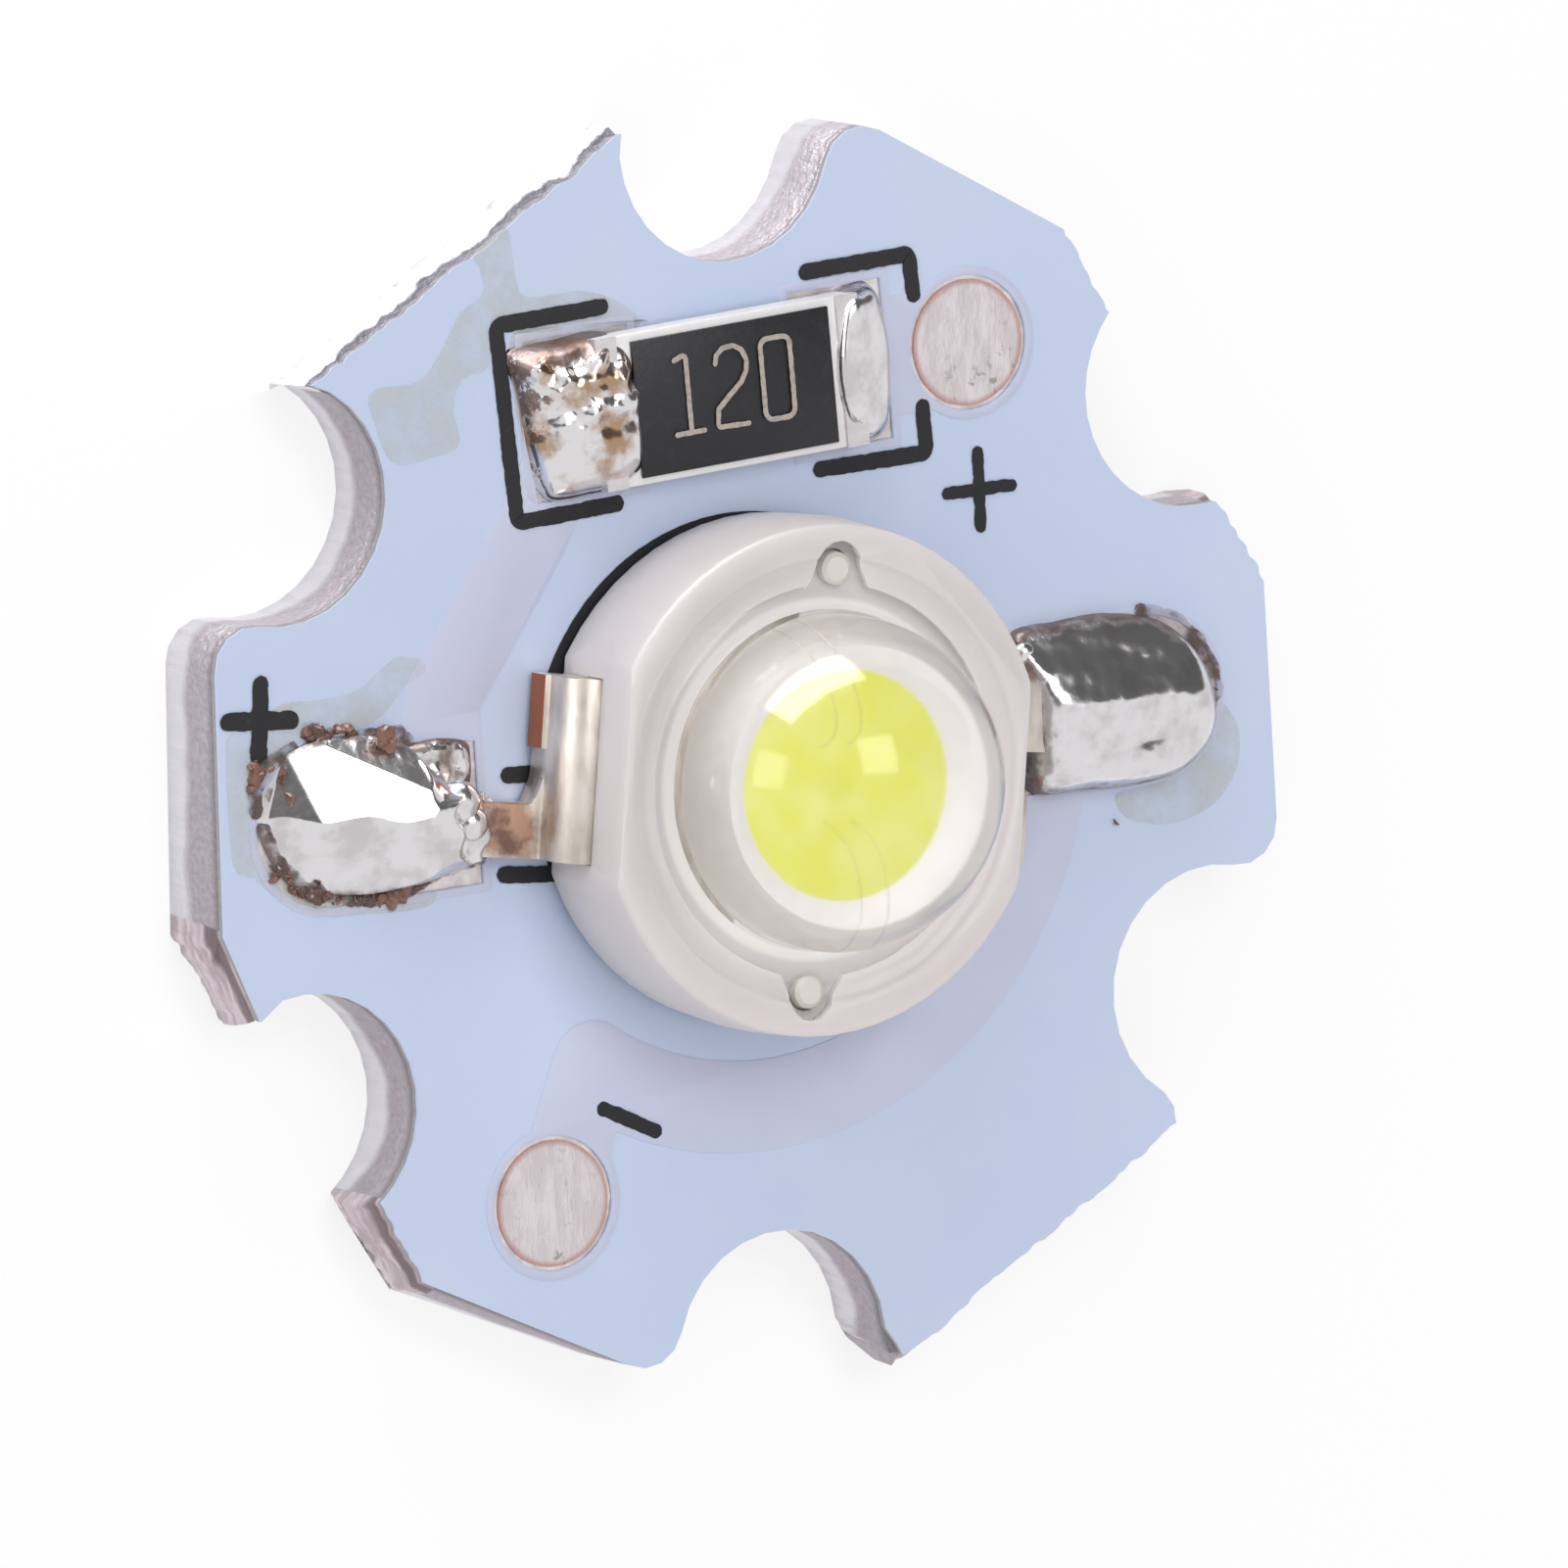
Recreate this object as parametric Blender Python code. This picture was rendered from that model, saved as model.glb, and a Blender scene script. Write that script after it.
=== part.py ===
"""Power LED on a star-shaped aluminium circuit board, with a series resistor.

Drawn in millimetres and scaled to metres at the end, +Z up. The origin is the centre of the star
on the underside of the board. X runs along the LED's leads and +Y points at the resistor.
"""
import math

import bmesh
import bpy
from mathutils import Matrix

MILLIMETRE = 0.001

# Clearance between two pieces that touch, and the wider one round a solder joint or a seat.
FACE_GAP = 0.01
SEAT_GAP = 0.02

# Star outline: six flats, six screw notches, two snapped sides and two snapped corner lines.
STAR_WIDTH = 20.0
NOTCH_CIRCLE_RADIUS = 10.0
NOTCH_RADIUS = 2.0
CORNER_FILLET = 0.7
SNAP_DEPTH = {30: 0.53, 120: 0.06, 210: 0.20, 300: -0.27}
SNAP_WEB_REACH = 0.16
SNAP_WEB_THICKNESS = 0.5
NOTCH_STEPS = 14
FILLET_STEPS = 4

# Board layers, from the bottom.
BASE_THICKNESS = 1.5
DIELECTRIC_THICKNESS = 0.08
COPPER_THICKNESS = 0.035
MASK_COVER = 0.02
TIN_THICKNESS = 0.015
INK_THICKNESS = 0.015

# Copper pattern and mask openings.
PAD_LAP = 0.12
ROUND_PAD_RADIUS = 1.11
ROUND_PAD_RIM = 0.07
POSITIVE_PAD = (4.44, 6.18)
NEGATIVE_PAD = (-4.23, -7.0)
FOOTPRINT_CENTRE = (-0.08, -0.18)
FOOTPRINT_TURN = math.radians(1.0)
LED_PAD_GAP_WIDTH = 10.36
LED_PAD_LENGTH = {-1: 4.15, 1: 3.85}
LED_PAD_WIDTH = 2.65
POSITIVE_TRACE_WIDTH = 1.9
ANODE_TRACE_WIDTH = 1.35
ANODE_TRACE_KNEE = (-3.95, 4.1)
ANODE_TRACE_FOOT = (-5.85, 1.5)
CATHODE_BAND_RADIUS = 5.72
CATHODE_BAND_WIDTH = 1.45
CATHODE_BAND_SWEEP = math.radians(126)
CATHODE_TAIL_WIDTH = 1.5
THERMAL_LAND_RADIUS = 3.1

# Printed component outlines.
INK_WIDTH = 0.27
RING_CENTRE = (-0.16, -0.25)
RING_RADIUS = 4.05
RING_TAB_LENGTH = 0.6
RING_TAB_HEIGHTS = (0.35, -1.27)
LEFT_BRACKET = ((-2.35, 7.53), (-4.49, 7.44), (-4.27, 4.19), (-2.25, 4.3))
RIGHT_BRACKET_UPPER = ((1.27, 7.67), (3.38, 7.76), (3.45, 6.95))
RIGHT_BRACKET_LOWER = ((3.5, 5.35), (3.55, 4.46), (1.37, 4.41))

# LED package. Heights are measured from the underside of its heat slug, except the whole part's.
TOTAL_HEIGHT = 7.0
LED_CENTRE = (-0.04, -0.31)
LED_TURN = math.radians(-7.5)
BOND_THICKNESS = 0.05
SLUG_FOOT_RADIUS = 2.85
SLUG_FOOT_HEIGHT = 0.75
SLUG_NECK_RADIUS = 1.65
SLUG_HEIGHT = 2.8
CUP_RIM_RADIUS = 1.45
CUP_FLOOR_RADIUS = 1.0
CUP_DEPTH = 0.5
DIE_SIZE = 1.0
DIE_HEIGHT = 0.15
PHOSPHOR_CROWN = 0.12
BODY_RADIUS = 4.25
BODY_FLAT = 3.8
BODY_BOTTOM = 0.11
BODY_TOP = 2.26
BODY_EDGE = 0.12
BODY_DRAFT = 0.06
BODY_STEP_RADIUS = 3.68
BODY_STEP_HEIGHT = 0.06
WELL_RADIUS = 2.72
LENS_SEAT_RADIUS = 3.22
LENS_SEAT_DEPTH = 0.36
DOME_RADIUS = 2.75
LENS_WALL = 0.55
LENS_FLANGE_THICKNESS = 0.3
LUG_REACH = 3.9
LUG_LAP_LENGTH = 0.32
LUG_ROOT_WIDTH = 1.45
LUG_TIP_WIDTH = 0.8
LUG_PIN_RADIUS = 0.26
LUG_PIN_PLACE = 3.48

# Leads.
LEAD_THICKNESS = 0.45
LEAD_CENTRE_HEIGHT = 1.085
LEAD_WIDTH = 3.0
LEAD_BEND_RADIUS = 0.275
LEAD_FOOT_HEIGHT = 0.06
LEAD_STUB_DEPTH = {-1: 0.58, 1: 1.18}
LEAD_STUB_LENGTH = 1.2
LEAD_RELIEF_DEPTH = 0.5
LEAD_FOOT_LENGTH = 1.82
LEAD_FOOT_WIDTH = 1.15
LEAD_FOOT_CORNER = 0.3
LEAD_RING_INNER = 1.95
LEAD_RING_OUTER = 2.55
LEAD_RING_START = math.radians(97)
LEAD_RING_END = math.radians(243)

# Bond wires: two from the die to each lead ring.
WIRE_RADIUS = 0.016
WIRE_SIDES = 6
WIRE_STEPS = 12
WIRE_LOOP_HEIGHT = 0.75
WIRE_STARTS = ((-0.2, 0.3), (0.15, 0.32))
WIRE_LANDING_RADIUS = 2.25
WIRE_LANDING_ANGLES = (math.radians(110), math.radians(101))

# Resistor.
RESISTOR_CENTRE = (-0.43, 5.95)
RESISTOR_TURN = math.radians(2.7)
RESISTOR_LENGTH = 5.0
RESISTOR_WIDTH = 2.5
RESISTOR_HEIGHT = 0.56
RESISTOR_LIFT = 0.05
TERMINATION_LENGTH = 0.4
TERMINATION_THICKNESS = 0.05
COAT_LENGTH = 3.75
COAT_WIDTH = 2.25
COAT_THICKNESS = 0.06
FILM_MARGIN = 0.15
FILM_THICKNESS = 0.015
RESISTOR_PAD_GAP_WIDTH = 3.1
RESISTOR_PAD_LENGTH = {-1: 1.95, 1: 1.75}
RESISTOR_PAD_WIDTH = 2.65

# Solder joints. Heights are measured from the top of the bare pads.
LEFT_JOINT_INSET_DEPTH = 0.62
LED_JOINT_HEIGHT = 0.85
NECK_SPAN = (5.15, 6.7)
NECK_WIDTH = 1.7
NECK_HEIGHT = 0.88
RESISTOR_JOINT_INSET_DEPTH = 0.3
RESISTOR_JOINT_WIDTH = 2.4
RESISTOR_JOINT_HEIGHT = {-1: 0.76, 1: 0.6}
JOINT_RINGS = 6

ROUND_STEPS = 40
BODY_STEPS = 56

# Places on the board that follow from the sizes above.
FLAT_DISTANCE = STAR_WIDTH / 2
SNAP_DISTANCE = {angle: FLAT_DISTANCE - depth for angle, depth in SNAP_DEPTH.items()}
RING_TAB_END = RING_RADIUS + RING_TAB_LENGTH
LED_PAD_INNER = LED_PAD_GAP_WIDTH / 2
LED_PAD_OUTER = {side: LED_PAD_INNER + length for side, length in LED_PAD_LENGTH.items()}
LEFT_JOINT_INNER = LED_PAD_INNER + LEFT_JOINT_INSET_DEPTH
LEAD_STUB_END = {side: BODY_FLAT + depth for side, depth in LEAD_STUB_DEPTH.items()}
LEAD_RELIEF_END = BODY_FLAT + LEAD_RELIEF_DEPTH
LEAD_FOOT_END = BODY_FLAT + LEAD_FOOT_LENGTH
RESISTOR_PAD_INNER = RESISTOR_PAD_GAP_WIDTH / 2
RESISTOR_PAD_OUTER = {side: RESISTOR_PAD_INNER + length
                      for side, length in RESISTOR_PAD_LENGTH.items()}
RESISTOR_JOINT_INNER = RESISTOR_PAD_INNER + RESISTOR_JOINT_INSET_DEPTH

# Levels that follow from the sizes above.
DIELECTRIC_Z = BASE_THICKNESS + FACE_GAP
COPPER_Z = DIELECTRIC_Z + DIELECTRIC_THICKNESS + FACE_GAP
COPPER_TOP = COPPER_Z + COPPER_THICKNESS
BOARD_TOP = COPPER_TOP + FACE_GAP + MASK_COVER
INK_Z = BOARD_TOP + FACE_GAP
PAD_TOP = COPPER_TOP + FACE_GAP
SLUG_Z = PAD_TOP + BOND_THICKNESS + FACE_GAP
LEAD_TOP = LEAD_CENTRE_HEIGHT + LEAD_THICKNESS / 2
WELL_FLOOR = LEAD_TOP
LENS_SEAT = BODY_TOP - LENS_SEAT_DEPTH
LENS_FLANGE_TOP = LENS_SEAT + LENS_FLANGE_THICKNESS
DOME_CENTRE = TOTAL_HEIGHT - SLUG_Z - DOME_RADIUS
CUP_FLOOR = SLUG_HEIGHT - CUP_DEPTH
DIE_Z = CUP_FLOOR + FACE_GAP
CUP_TAPER = (CUP_RIM_RADIUS - CUP_FLOOR_RADIUS) / CUP_DEPTH
PHOSPHOR_RADIUS = CUP_RIM_RADIUS - CUP_TAPER * (FACE_GAP + PHOSPHOR_CROWN) - FACE_GAP


def remove_everything():
    """Empty the scene of objects."""
    for obj in list(bpy.data.objects):
        bpy.data.objects.remove(obj)


def finish_material(name, colour, roughness, metallic=0.0, transmission=0.0):
    """A Principled material with one plain finish."""
    material = bpy.data.materials.new(name)
    material.use_nodes = True
    shader = material.node_tree.nodes["Principled BSDF"]
    shader.inputs["Base Color"].default_value = (*colour, 1.0)
    shader.inputs["Roughness"].default_value = roughness
    shader.inputs["Metallic"].default_value = metallic
    shader.inputs["Transmission Weight"].default_value = transmission
    return material


def add_object(name, mesh_builder, material=None):
    """Make an object from a filled bmesh, with its faces pointing out."""
    bmesh.ops.recalc_face_normals(mesh_builder, faces=mesh_builder.faces)
    mesh = bpy.data.meshes.new(name)
    mesh_builder.to_mesh(mesh)
    mesh_builder.free()
    obj = bpy.data.objects.new(name, mesh)
    bpy.context.scene.collection.objects.link(obj)
    if material:
        mesh.materials.append(material)
    return obj


def paint(obj, material):
    """Give an object its one material."""
    obj.data.materials.clear()
    obj.data.materials.append(material)
    return obj


def smooth(obj, angle=math.radians(35)):
    """Shade round faces smooth and leave real edges sharp."""
    obj.data.shade_smooth()
    obj.data.set_sharp_from_angle(angle=angle)
    return obj


def combine(target, tool, operation):
    """Cut, join or intersect the target with a tool, and use the tool up."""
    modifier = target.modifiers.new(operation.title(), "BOOLEAN")
    modifier.operation = operation
    modifier.solver = "EXACT"
    modifier.object = tool
    bpy.context.view_layer.update()
    evaluated = target.evaluated_get(bpy.context.evaluated_depsgraph_get())
    result = bpy.data.meshes.new_from_object(evaluated)
    target.modifiers.clear()
    target.data = result
    bpy.data.objects.remove(tool)
    return target


def cut(target, tool):
    return combine(target, tool, "DIFFERENCE")


def join(target, tool):
    return combine(target, tool, "UNION")


def settle(obj, centre=(0.0, 0.0), turn=0.0, height=0.0):
    """Turn a piece about its own Z axis and set it at its place on the board."""
    obj.data.transform(Matrix.Translation((*centre, height)) @ Matrix.Rotation(turn, 4, "Z"))
    return obj


def arc(centre, radius, start, end, steps):
    """Points along an arc, both ends included."""
    points = []
    for step in range(steps + 1):
        angle = start + (end - start) * step / steps
        points.append((centre[0] + radius * math.cos(angle), centre[1] + radius * math.sin(angle)))
    return points


def circle(radius, steps=ROUND_STEPS, centre=(0.0, 0.0)):
    """A closed round outline."""
    return arc(centre, radius, 0.0, math.tau, steps)[:-1]


def box_outline(x0, x1, y0, y1):
    return [(x0, y0), (x1, y0), (x1, y1), (x0, y1)]


def loft(name, loops, material=None):
    """Skin loops that have as many points each, and close both ends."""
    builder = bmesh.new()
    rows = [[builder.verts.new(point) for point in loop] for loop in loops]
    for lower, upper in zip(rows, rows[1:]):
        for index in range(len(lower)):
            after = (index + 1) % len(lower)
            builder.faces.new((lower[index], lower[after], upper[after], upper[index]))
    builder.faces.new(list(reversed(rows[0])))
    builder.faces.new(rows[-1])
    return add_object(name, builder, material)


def plate(name, outline, bottom, top, material=None):
    """An outline raised between two levels."""
    return loft(name, [[(x, y, z) for x, y in outline] for z in (bottom, top)], material)


def turned(name, profile, material=None, steps=ROUND_STEPS):
    """Turn a closed profile of (radius, height) round the Z axis."""
    builder = bmesh.new()
    rings = []
    for radius, height in profile:
        if radius == 0.0:
            rings.append([builder.verts.new((0.0, 0.0, height))])
        else:
            rings.append([builder.verts.new((x, y, height)) for x, y in circle(radius, steps)])
    for first, second in zip(rings, rings[1:] + rings[:1]):
        for index in range(steps):
            after = (index + 1) % steps
            corners = []
            for vert in (first[index % len(first)], first[after % len(first)],
                         second[after % len(second)], second[index % len(second)]):
                if vert not in corners:
                    corners.append(vert)
            if len(corners) > 2:
                builder.faces.new(corners)
    return smooth(add_object(name, builder, material))


def dome_profile(radius, centre_height, start_height, steps):
    """Profile points on a sphere, from a height up to the pole."""
    first = math.asin((start_height - centre_height) / radius)
    points = []
    for step in range(steps):
        angle = first + (math.pi / 2 - first) * step / steps
        points.append((radius * math.cos(angle), centre_height + radius * math.sin(angle)))
    points.append((0.0, centre_height + radius))
    return points


def stroke(points, width, end_steps=8):
    """Outline of a line of constant width with round ends and mitred corners."""
    half = width / 2
    directions = []
    for (x0, y0), (x1, y1) in zip(points, points[1:]):
        length = math.hypot(x1 - x0, y1 - y0)
        directions.append(((x1 - x0) / length, (y1 - y0) / length))
    sides = []
    for index in range(1, len(points) - 1):
        (ax, ay), (bx, by) = directions[index - 1], directions[index]
        reach = half / (1.0 + ax * bx + ay * by)
        sides.append((-(ay + by) * reach, (ax + bx) * reach))
    inner = points[1:-1]
    left = [(x + dx, y + dy) for (x, y), (dx, dy) in zip(inner, sides)]
    right = [(x - dx, y - dy) for (x, y), (dx, dy) in zip(inner, sides)]
    heading = math.atan2(directions[-1][1], directions[-1][0])
    far_end = arc(points[-1], half, heading - math.pi / 2, heading + math.pi / 2, end_steps)
    heading = math.atan2(directions[0][1], directions[0][0])
    near_end = arc(points[0], half, heading + math.pi / 2, heading + math.pi * 3 / 2, end_steps)
    return right + far_end + list(reversed(left)) + near_end


def star_outline(web_reach=0.0):
    """The star's edge, counter-clockwise, with its snapped sides moved out by the web's reach."""
    snap = {angle: distance + web_reach for angle, distance in SNAP_DISTANCE.items()}
    lobes = [
        ([(0, FLAT_DISTANCE), (30, snap[30])], True, False),
        ([(30, snap[30]), (60, FLAT_DISTANCE)], False, True),
        ([(120, snap[120])], False, False),
        ([(180, FLAT_DISTANCE), (210, snap[210])], True, False),
        ([(210, snap[210]), (240, FLAT_DISTANCE)], False, True),
        ([(300, snap[300])], False, False),
    ]
    points = []
    for index, (sides, fillet_first, fillet_last) in enumerate(lobes):
        notch_angle = 60 * index - 30
        first, notch_start = lobe_corner(notch_angle, sides[0], 1, fillet_first)
        last, next_end = lobe_corner(notch_angle + 60, sides[-1], -1, fillet_last)
        corners = [meeting_point(*pair) for pair in zip(sides, sides[1:])]
        following = lobes[(index + 1) % len(lobes)]
        next_start = lobe_corner(notch_angle + 60, following[0][0], 1, following[1])[1]
        notch = polar(NOTCH_CIRCLE_RADIUS, math.radians(notch_angle + 60))
        while next_start > next_end:
            next_start -= math.tau
        sweep = arc(notch, NOTCH_RADIUS, next_end, next_start, NOTCH_STEPS)
        points += first + corners + last + sweep[1:-1]
    return points


def polar(radius, angle):
    return (radius * math.cos(angle), radius * math.sin(angle))


def meeting_point(first, second):
    """Where two sides meet, each given by its normal's angle in degrees and its distance."""
    a, b = math.radians(first[0]), math.radians(second[0])
    turn = math.sin(b - a)
    x = (first[1] * math.sin(b) - second[1] * math.sin(a)) / turn
    y = (second[1] * math.cos(a) - first[1] * math.cos(b)) / turn
    return (x, y)


def lobe_corner(notch_angle, side, hand, filleted):
    """Points where a notch meets a side, and the angle on the notch where it happens."""
    notch = polar(NOTCH_CIRCLE_RADIUS, math.radians(notch_angle))
    normal = math.radians(side[0])
    notch_depth = NOTCH_CIRCLE_RADIUS * math.cos(math.radians(notch_angle) - normal)
    if not filleted:
        angle = normal + hand * math.acos((side[1] - notch_depth) / NOTCH_RADIUS)
        x, y = polar(NOTCH_RADIUS, angle)
        return [(notch[0] + x, notch[1] + y)], angle
    reach = NOTCH_RADIUS + CORNER_FILLET
    angle = normal + hand * math.acos((side[1] - CORNER_FILLET - notch_depth) / reach)
    centre = (notch[0] + reach * math.cos(angle), notch[1] + reach * math.sin(angle))
    facing = angle - hand * math.pi
    ends = (facing, normal) if hand > 0 else (normal, facing)
    return arc(centre, CORNER_FILLET, *ends, FILLET_STEPS), angle


def half_slot(inner, outer, width, steps=12):
    """A pad outline along +X: square at its inner end and round at its outer end."""
    half = width / 2
    return [(inner, -half)] + arc((outer - half, 0.0), half, -math.pi / 2, math.pi / 2, steps) \
        + [(inner, half)]


def on_board(outline, centre, turn):
    """An outline turned and placed on the board."""
    cosine, sine = math.cos(turn), math.sin(turn)
    return [(centre[0] + x * cosine - y * sine, centre[1] + x * sine + y * cosine) for x, y in outline]


def on_footprint(outline, side):
    """An outline drawn along +X, placed on the LED's footprint on the side of one lead."""
    return on_board(outline, FOOTPRINT_CENTRE, FOOTPRINT_TURN + (math.pi if side < 0 else 0.0))


def on_resistor(outline, side=1):
    return on_board(outline, RESISTOR_CENTRE, RESISTOR_TURN + (math.pi if side < 0 else 0.0))


def led_pad(side, grow=0.0):
    width = LED_PAD_WIDTH + 2 * grow
    return on_footprint(half_slot(LED_PAD_INNER - grow, LED_PAD_OUTER[side] + grow, width), side)


def resistor_pad(side, grow=0.0):
    half = RESISTOR_PAD_WIDTH / 2 + grow
    outline = box_outline(RESISTOR_PAD_INNER - grow, RESISTOR_PAD_OUTER[side] + grow, -half, half)
    return on_resistor(outline, side)


def copper_outlines(grow=0.0):
    """The overlapping shapes of each copper piece."""
    wider = PAD_LAP + grow
    resistor_end = RESISTOR_LENGTH / 2
    resistor_left, resistor_right = on_resistor([(-resistor_end, 0.0), (resistor_end, 0.0)])
    anode_pad = on_footprint([(LED_PAD_INNER + LED_PAD_WIDTH / 3, 0.0)], -1)[0]
    anode_points = [resistor_left, ANODE_TRACE_KNEE, ANODE_TRACE_FOOT, anode_pad]
    half_band = CATHODE_BAND_WIDTH / 2 + grow
    band_turn = -CATHODE_BAND_SWEEP
    outer_arc = arc((0, 0), CATHODE_BAND_RADIUS + half_band, band_turn, 0.0, 28)
    inner_arc = arc((0, 0), CATHODE_BAND_RADIUS - half_band, 0.0, band_turn, 28)
    band_end = on_footprint([polar(CATHODE_BAND_RADIUS, band_turn)], 1)[0]
    return {
        "positive_trace": [
            circle(ROUND_PAD_RADIUS + wider, centre=POSITIVE_PAD),
            resistor_pad(1, wider),
            stroke([resistor_right, POSITIVE_PAD], POSITIVE_TRACE_WIDTH + 2 * grow),
        ],
        "anode_trace": [
            led_pad(-1, wider),
            resistor_pad(-1, wider),
            stroke(anode_points, ANODE_TRACE_WIDTH + 2 * grow),
        ],
        "cathode_trace": [
            led_pad(1, wider),
            on_footprint(outer_arc + inner_arc, 1),
            circle(half_band, centre=band_end),
            circle(ROUND_PAD_RADIUS + wider, centre=NEGATIVE_PAD),
            stroke([band_end, NEGATIVE_PAD], CATHODE_TAIL_WIDTH + 2 * grow),
        ],
        "thermal_land": [circle(THERMAL_LAND_RADIUS + wider, centre=LED_CENTRE)],
    }


def fused(name, outlines, bottom, top, material=None):
    """One solid from overlapping outlines at the same level."""
    body = plate(name, outlines[0], bottom, top, material)
    for outline in outlines[1:]:
        join(body, plate(name + "_share", outline, bottom, top))
    return body


def build_board():
    """Aluminium base, dielectric, copper, solder mask and the tinned round pads."""
    aluminium = finish_material("bright_aluminium", (0.78, 0.77, 0.78), 0.35, 1.0)
    web_low = (BASE_THICKNESS - SNAP_WEB_THICKNESS) / 2
    levels = [
        (0.0, 0.0),
        (web_low, SNAP_WEB_REACH),
        (web_low + SNAP_WEB_THICKNESS, SNAP_WEB_REACH),
        (BASE_THICKNESS, 0.0),
    ]
    loops = [[(x, y, z) for x, y in star_outline(reach)] for z, reach in levels]
    smooth(loft("base_plate", loops, aluminium))

    resin = finish_material("dielectric_resin", (0.83, 0.83, 0.8), 0.5)
    plate("dielectric_layer", star_outline(), DIELECTRIC_Z, DIELECTRIC_Z + DIELECTRIC_THICKNESS, resin)

    copper = finish_material("copper_foil", (0.8, 0.48, 0.36), 0.35, 1.0)
    for name, outlines in copper_outlines().items():
        fused(name, outlines, COPPER_Z, COPPER_TOP, copper)

    white = finish_material("white_solder_mask", (0.55, 0.63, 0.8), 0.4)
    mask = plate("solder_mask", star_outline(), COPPER_Z, BOARD_TOP, white)
    for name, outlines in copper_outlines(FACE_GAP).items():
        cut(mask, fused(name + "_pocket", outlines, COPPER_Z - FACE_GAP, COPPER_TOP + FACE_GAP))
    openings = [
        circle(ROUND_PAD_RADIUS, centre=POSITIVE_PAD),
        circle(ROUND_PAD_RADIUS, centre=NEGATIVE_PAD),
        circle(THERMAL_LAND_RADIUS, centre=LED_CENTRE),
        led_pad(-1),
        led_pad(1),
        resistor_pad(-1),
        resistor_pad(1),
    ]
    for outline in openings:
        cut(mask, plate("opening", outline, COPPER_Z, BOARD_TOP + FACE_GAP))
    paint(mask, white)

    tin = finish_material("levelled_tin", (0.74, 0.72, 0.72), 0.4, 1.0)
    tin_outline = circle(ROUND_PAD_RADIUS - ROUND_PAD_RIM)
    for name, centre in (("positive_pad_tin", POSITIVE_PAD), ("negative_pad_tin", NEGATIVE_PAD)):
        settle(plate(name, tin_outline, PAD_TOP, PAD_TOP + TIN_THICKNESS, tin), centre)


def build_print():
    """Black component outlines on the mask."""
    ink = finish_material("black_ink", (0.02, 0.02, 0.024), 0.45)
    ink_top = INK_Z + INK_THICKNESS
    ring = plate("ring_print", circle(RING_RADIUS + INK_WIDTH / 2, 64), INK_Z, ink_top)
    cut(ring, plate("ring_hole", circle(RING_RADIUS - INK_WIDTH / 2, 64), INK_Z - FACE_GAP,
                    ink_top + FACE_GAP))
    for turn in (0.0, math.pi):
        for height in RING_TAB_HEIGHTS:
            start = math.sqrt(RING_RADIUS ** 2 - height ** 2)
            tab = stroke([(-start, height), (-RING_TAB_END, height)], INK_WIDTH)
            join(ring, plate("tab", on_board(tab, (0, 0), turn), INK_Z, ink_top))
    settle(ring, RING_CENTRE)
    paint(ring, ink)
    brackets = {
        "left_bracket_print": LEFT_BRACKET,
        "right_bracket_upper_print": RIGHT_BRACKET_UPPER,
        "right_bracket_lower_print": RIGHT_BRACKET_LOWER,
    }
    for name, corners in brackets.items():
        plate(name, stroke(corners, INK_WIDTH), INK_Z, ink_top, ink)


def lead_path():
    """Centre line of a lead in its own plane, from the package outward: two bends to the foot."""
    foot = LEAD_FOOT_HEIGHT + LEAD_THICKNESS / 2
    first_centre = (-BODY_FLAT, LEAD_CENTRE_HEIGHT - LEAD_BEND_RADIUS)
    second_centre = (-BODY_FLAT - 2 * LEAD_BEND_RADIUS, foot + LEAD_BEND_RADIUS)
    return first_centre, second_centre, foot


def lead_side_profile():
    """Side view of a lead's sheet, closed."""
    half = LEAD_THICKNESS / 2
    first, second, foot = lead_path()
    quarter = math.pi / 2
    upper = [(0.0, LEAD_CENTRE_HEIGHT + half)]
    upper += arc(first, LEAD_BEND_RADIUS + half, quarter, 2 * quarter, 6)
    upper += arc(second, LEAD_BEND_RADIUS - half, 0.0, -quarter, 4)
    upper += [(-LEAD_FOOT_END, foot + half)]
    lower = [(-LEAD_FOOT_END, foot - half)]
    lower += arc(second, LEAD_BEND_RADIUS + half, -quarter, 0.0, 6)
    lower += arc(first, LEAD_BEND_RADIUS - half, 2 * quarter, quarter, 4)
    lower += [(0.0, LEAD_CENTRE_HEIGHT - half)]
    return upper + lower


def lead_waste(side):
    """Outline of the sheet that is sheared away beside the foot, with the tie-bar stub left on."""
    edge = -LEAD_STUB_END[side]
    relief = -LEAD_RELIEF_END
    beyond = 2 * LEAD_FOOT_END
    foot_top = LEAD_FOOT_WIDTH - LEAD_WIDTH / 2
    stub_low = LEAD_WIDTH / 2 - LEAD_STUB_LENGTH
    corner = (relief - LEAD_FOOT_CORNER, foot_top + LEAD_FOOT_CORNER)
    outline = [(edge, beyond), (-beyond, beyond), (-beyond, foot_top)]
    outline += arc(corner, LEAD_FOOT_CORNER, -math.pi / 2, 0.0, 5)
    return outline + [(relief, stub_low), (edge, stub_low)]


def half_ring(grow=0.0):
    """The ring half that a lead ends in, inside the package."""
    slack = grow / LEAD_RING_INNER
    start, end = LEAD_RING_START - slack, LEAD_RING_END + slack
    return arc((0, 0), LEAD_RING_OUTER + grow, start, end, 20) \
        + arc((0, 0), LEAD_RING_INNER - grow, end, start, 20)


def lead_turn(side):
    return 0.0 if side < 0 else math.pi


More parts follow.
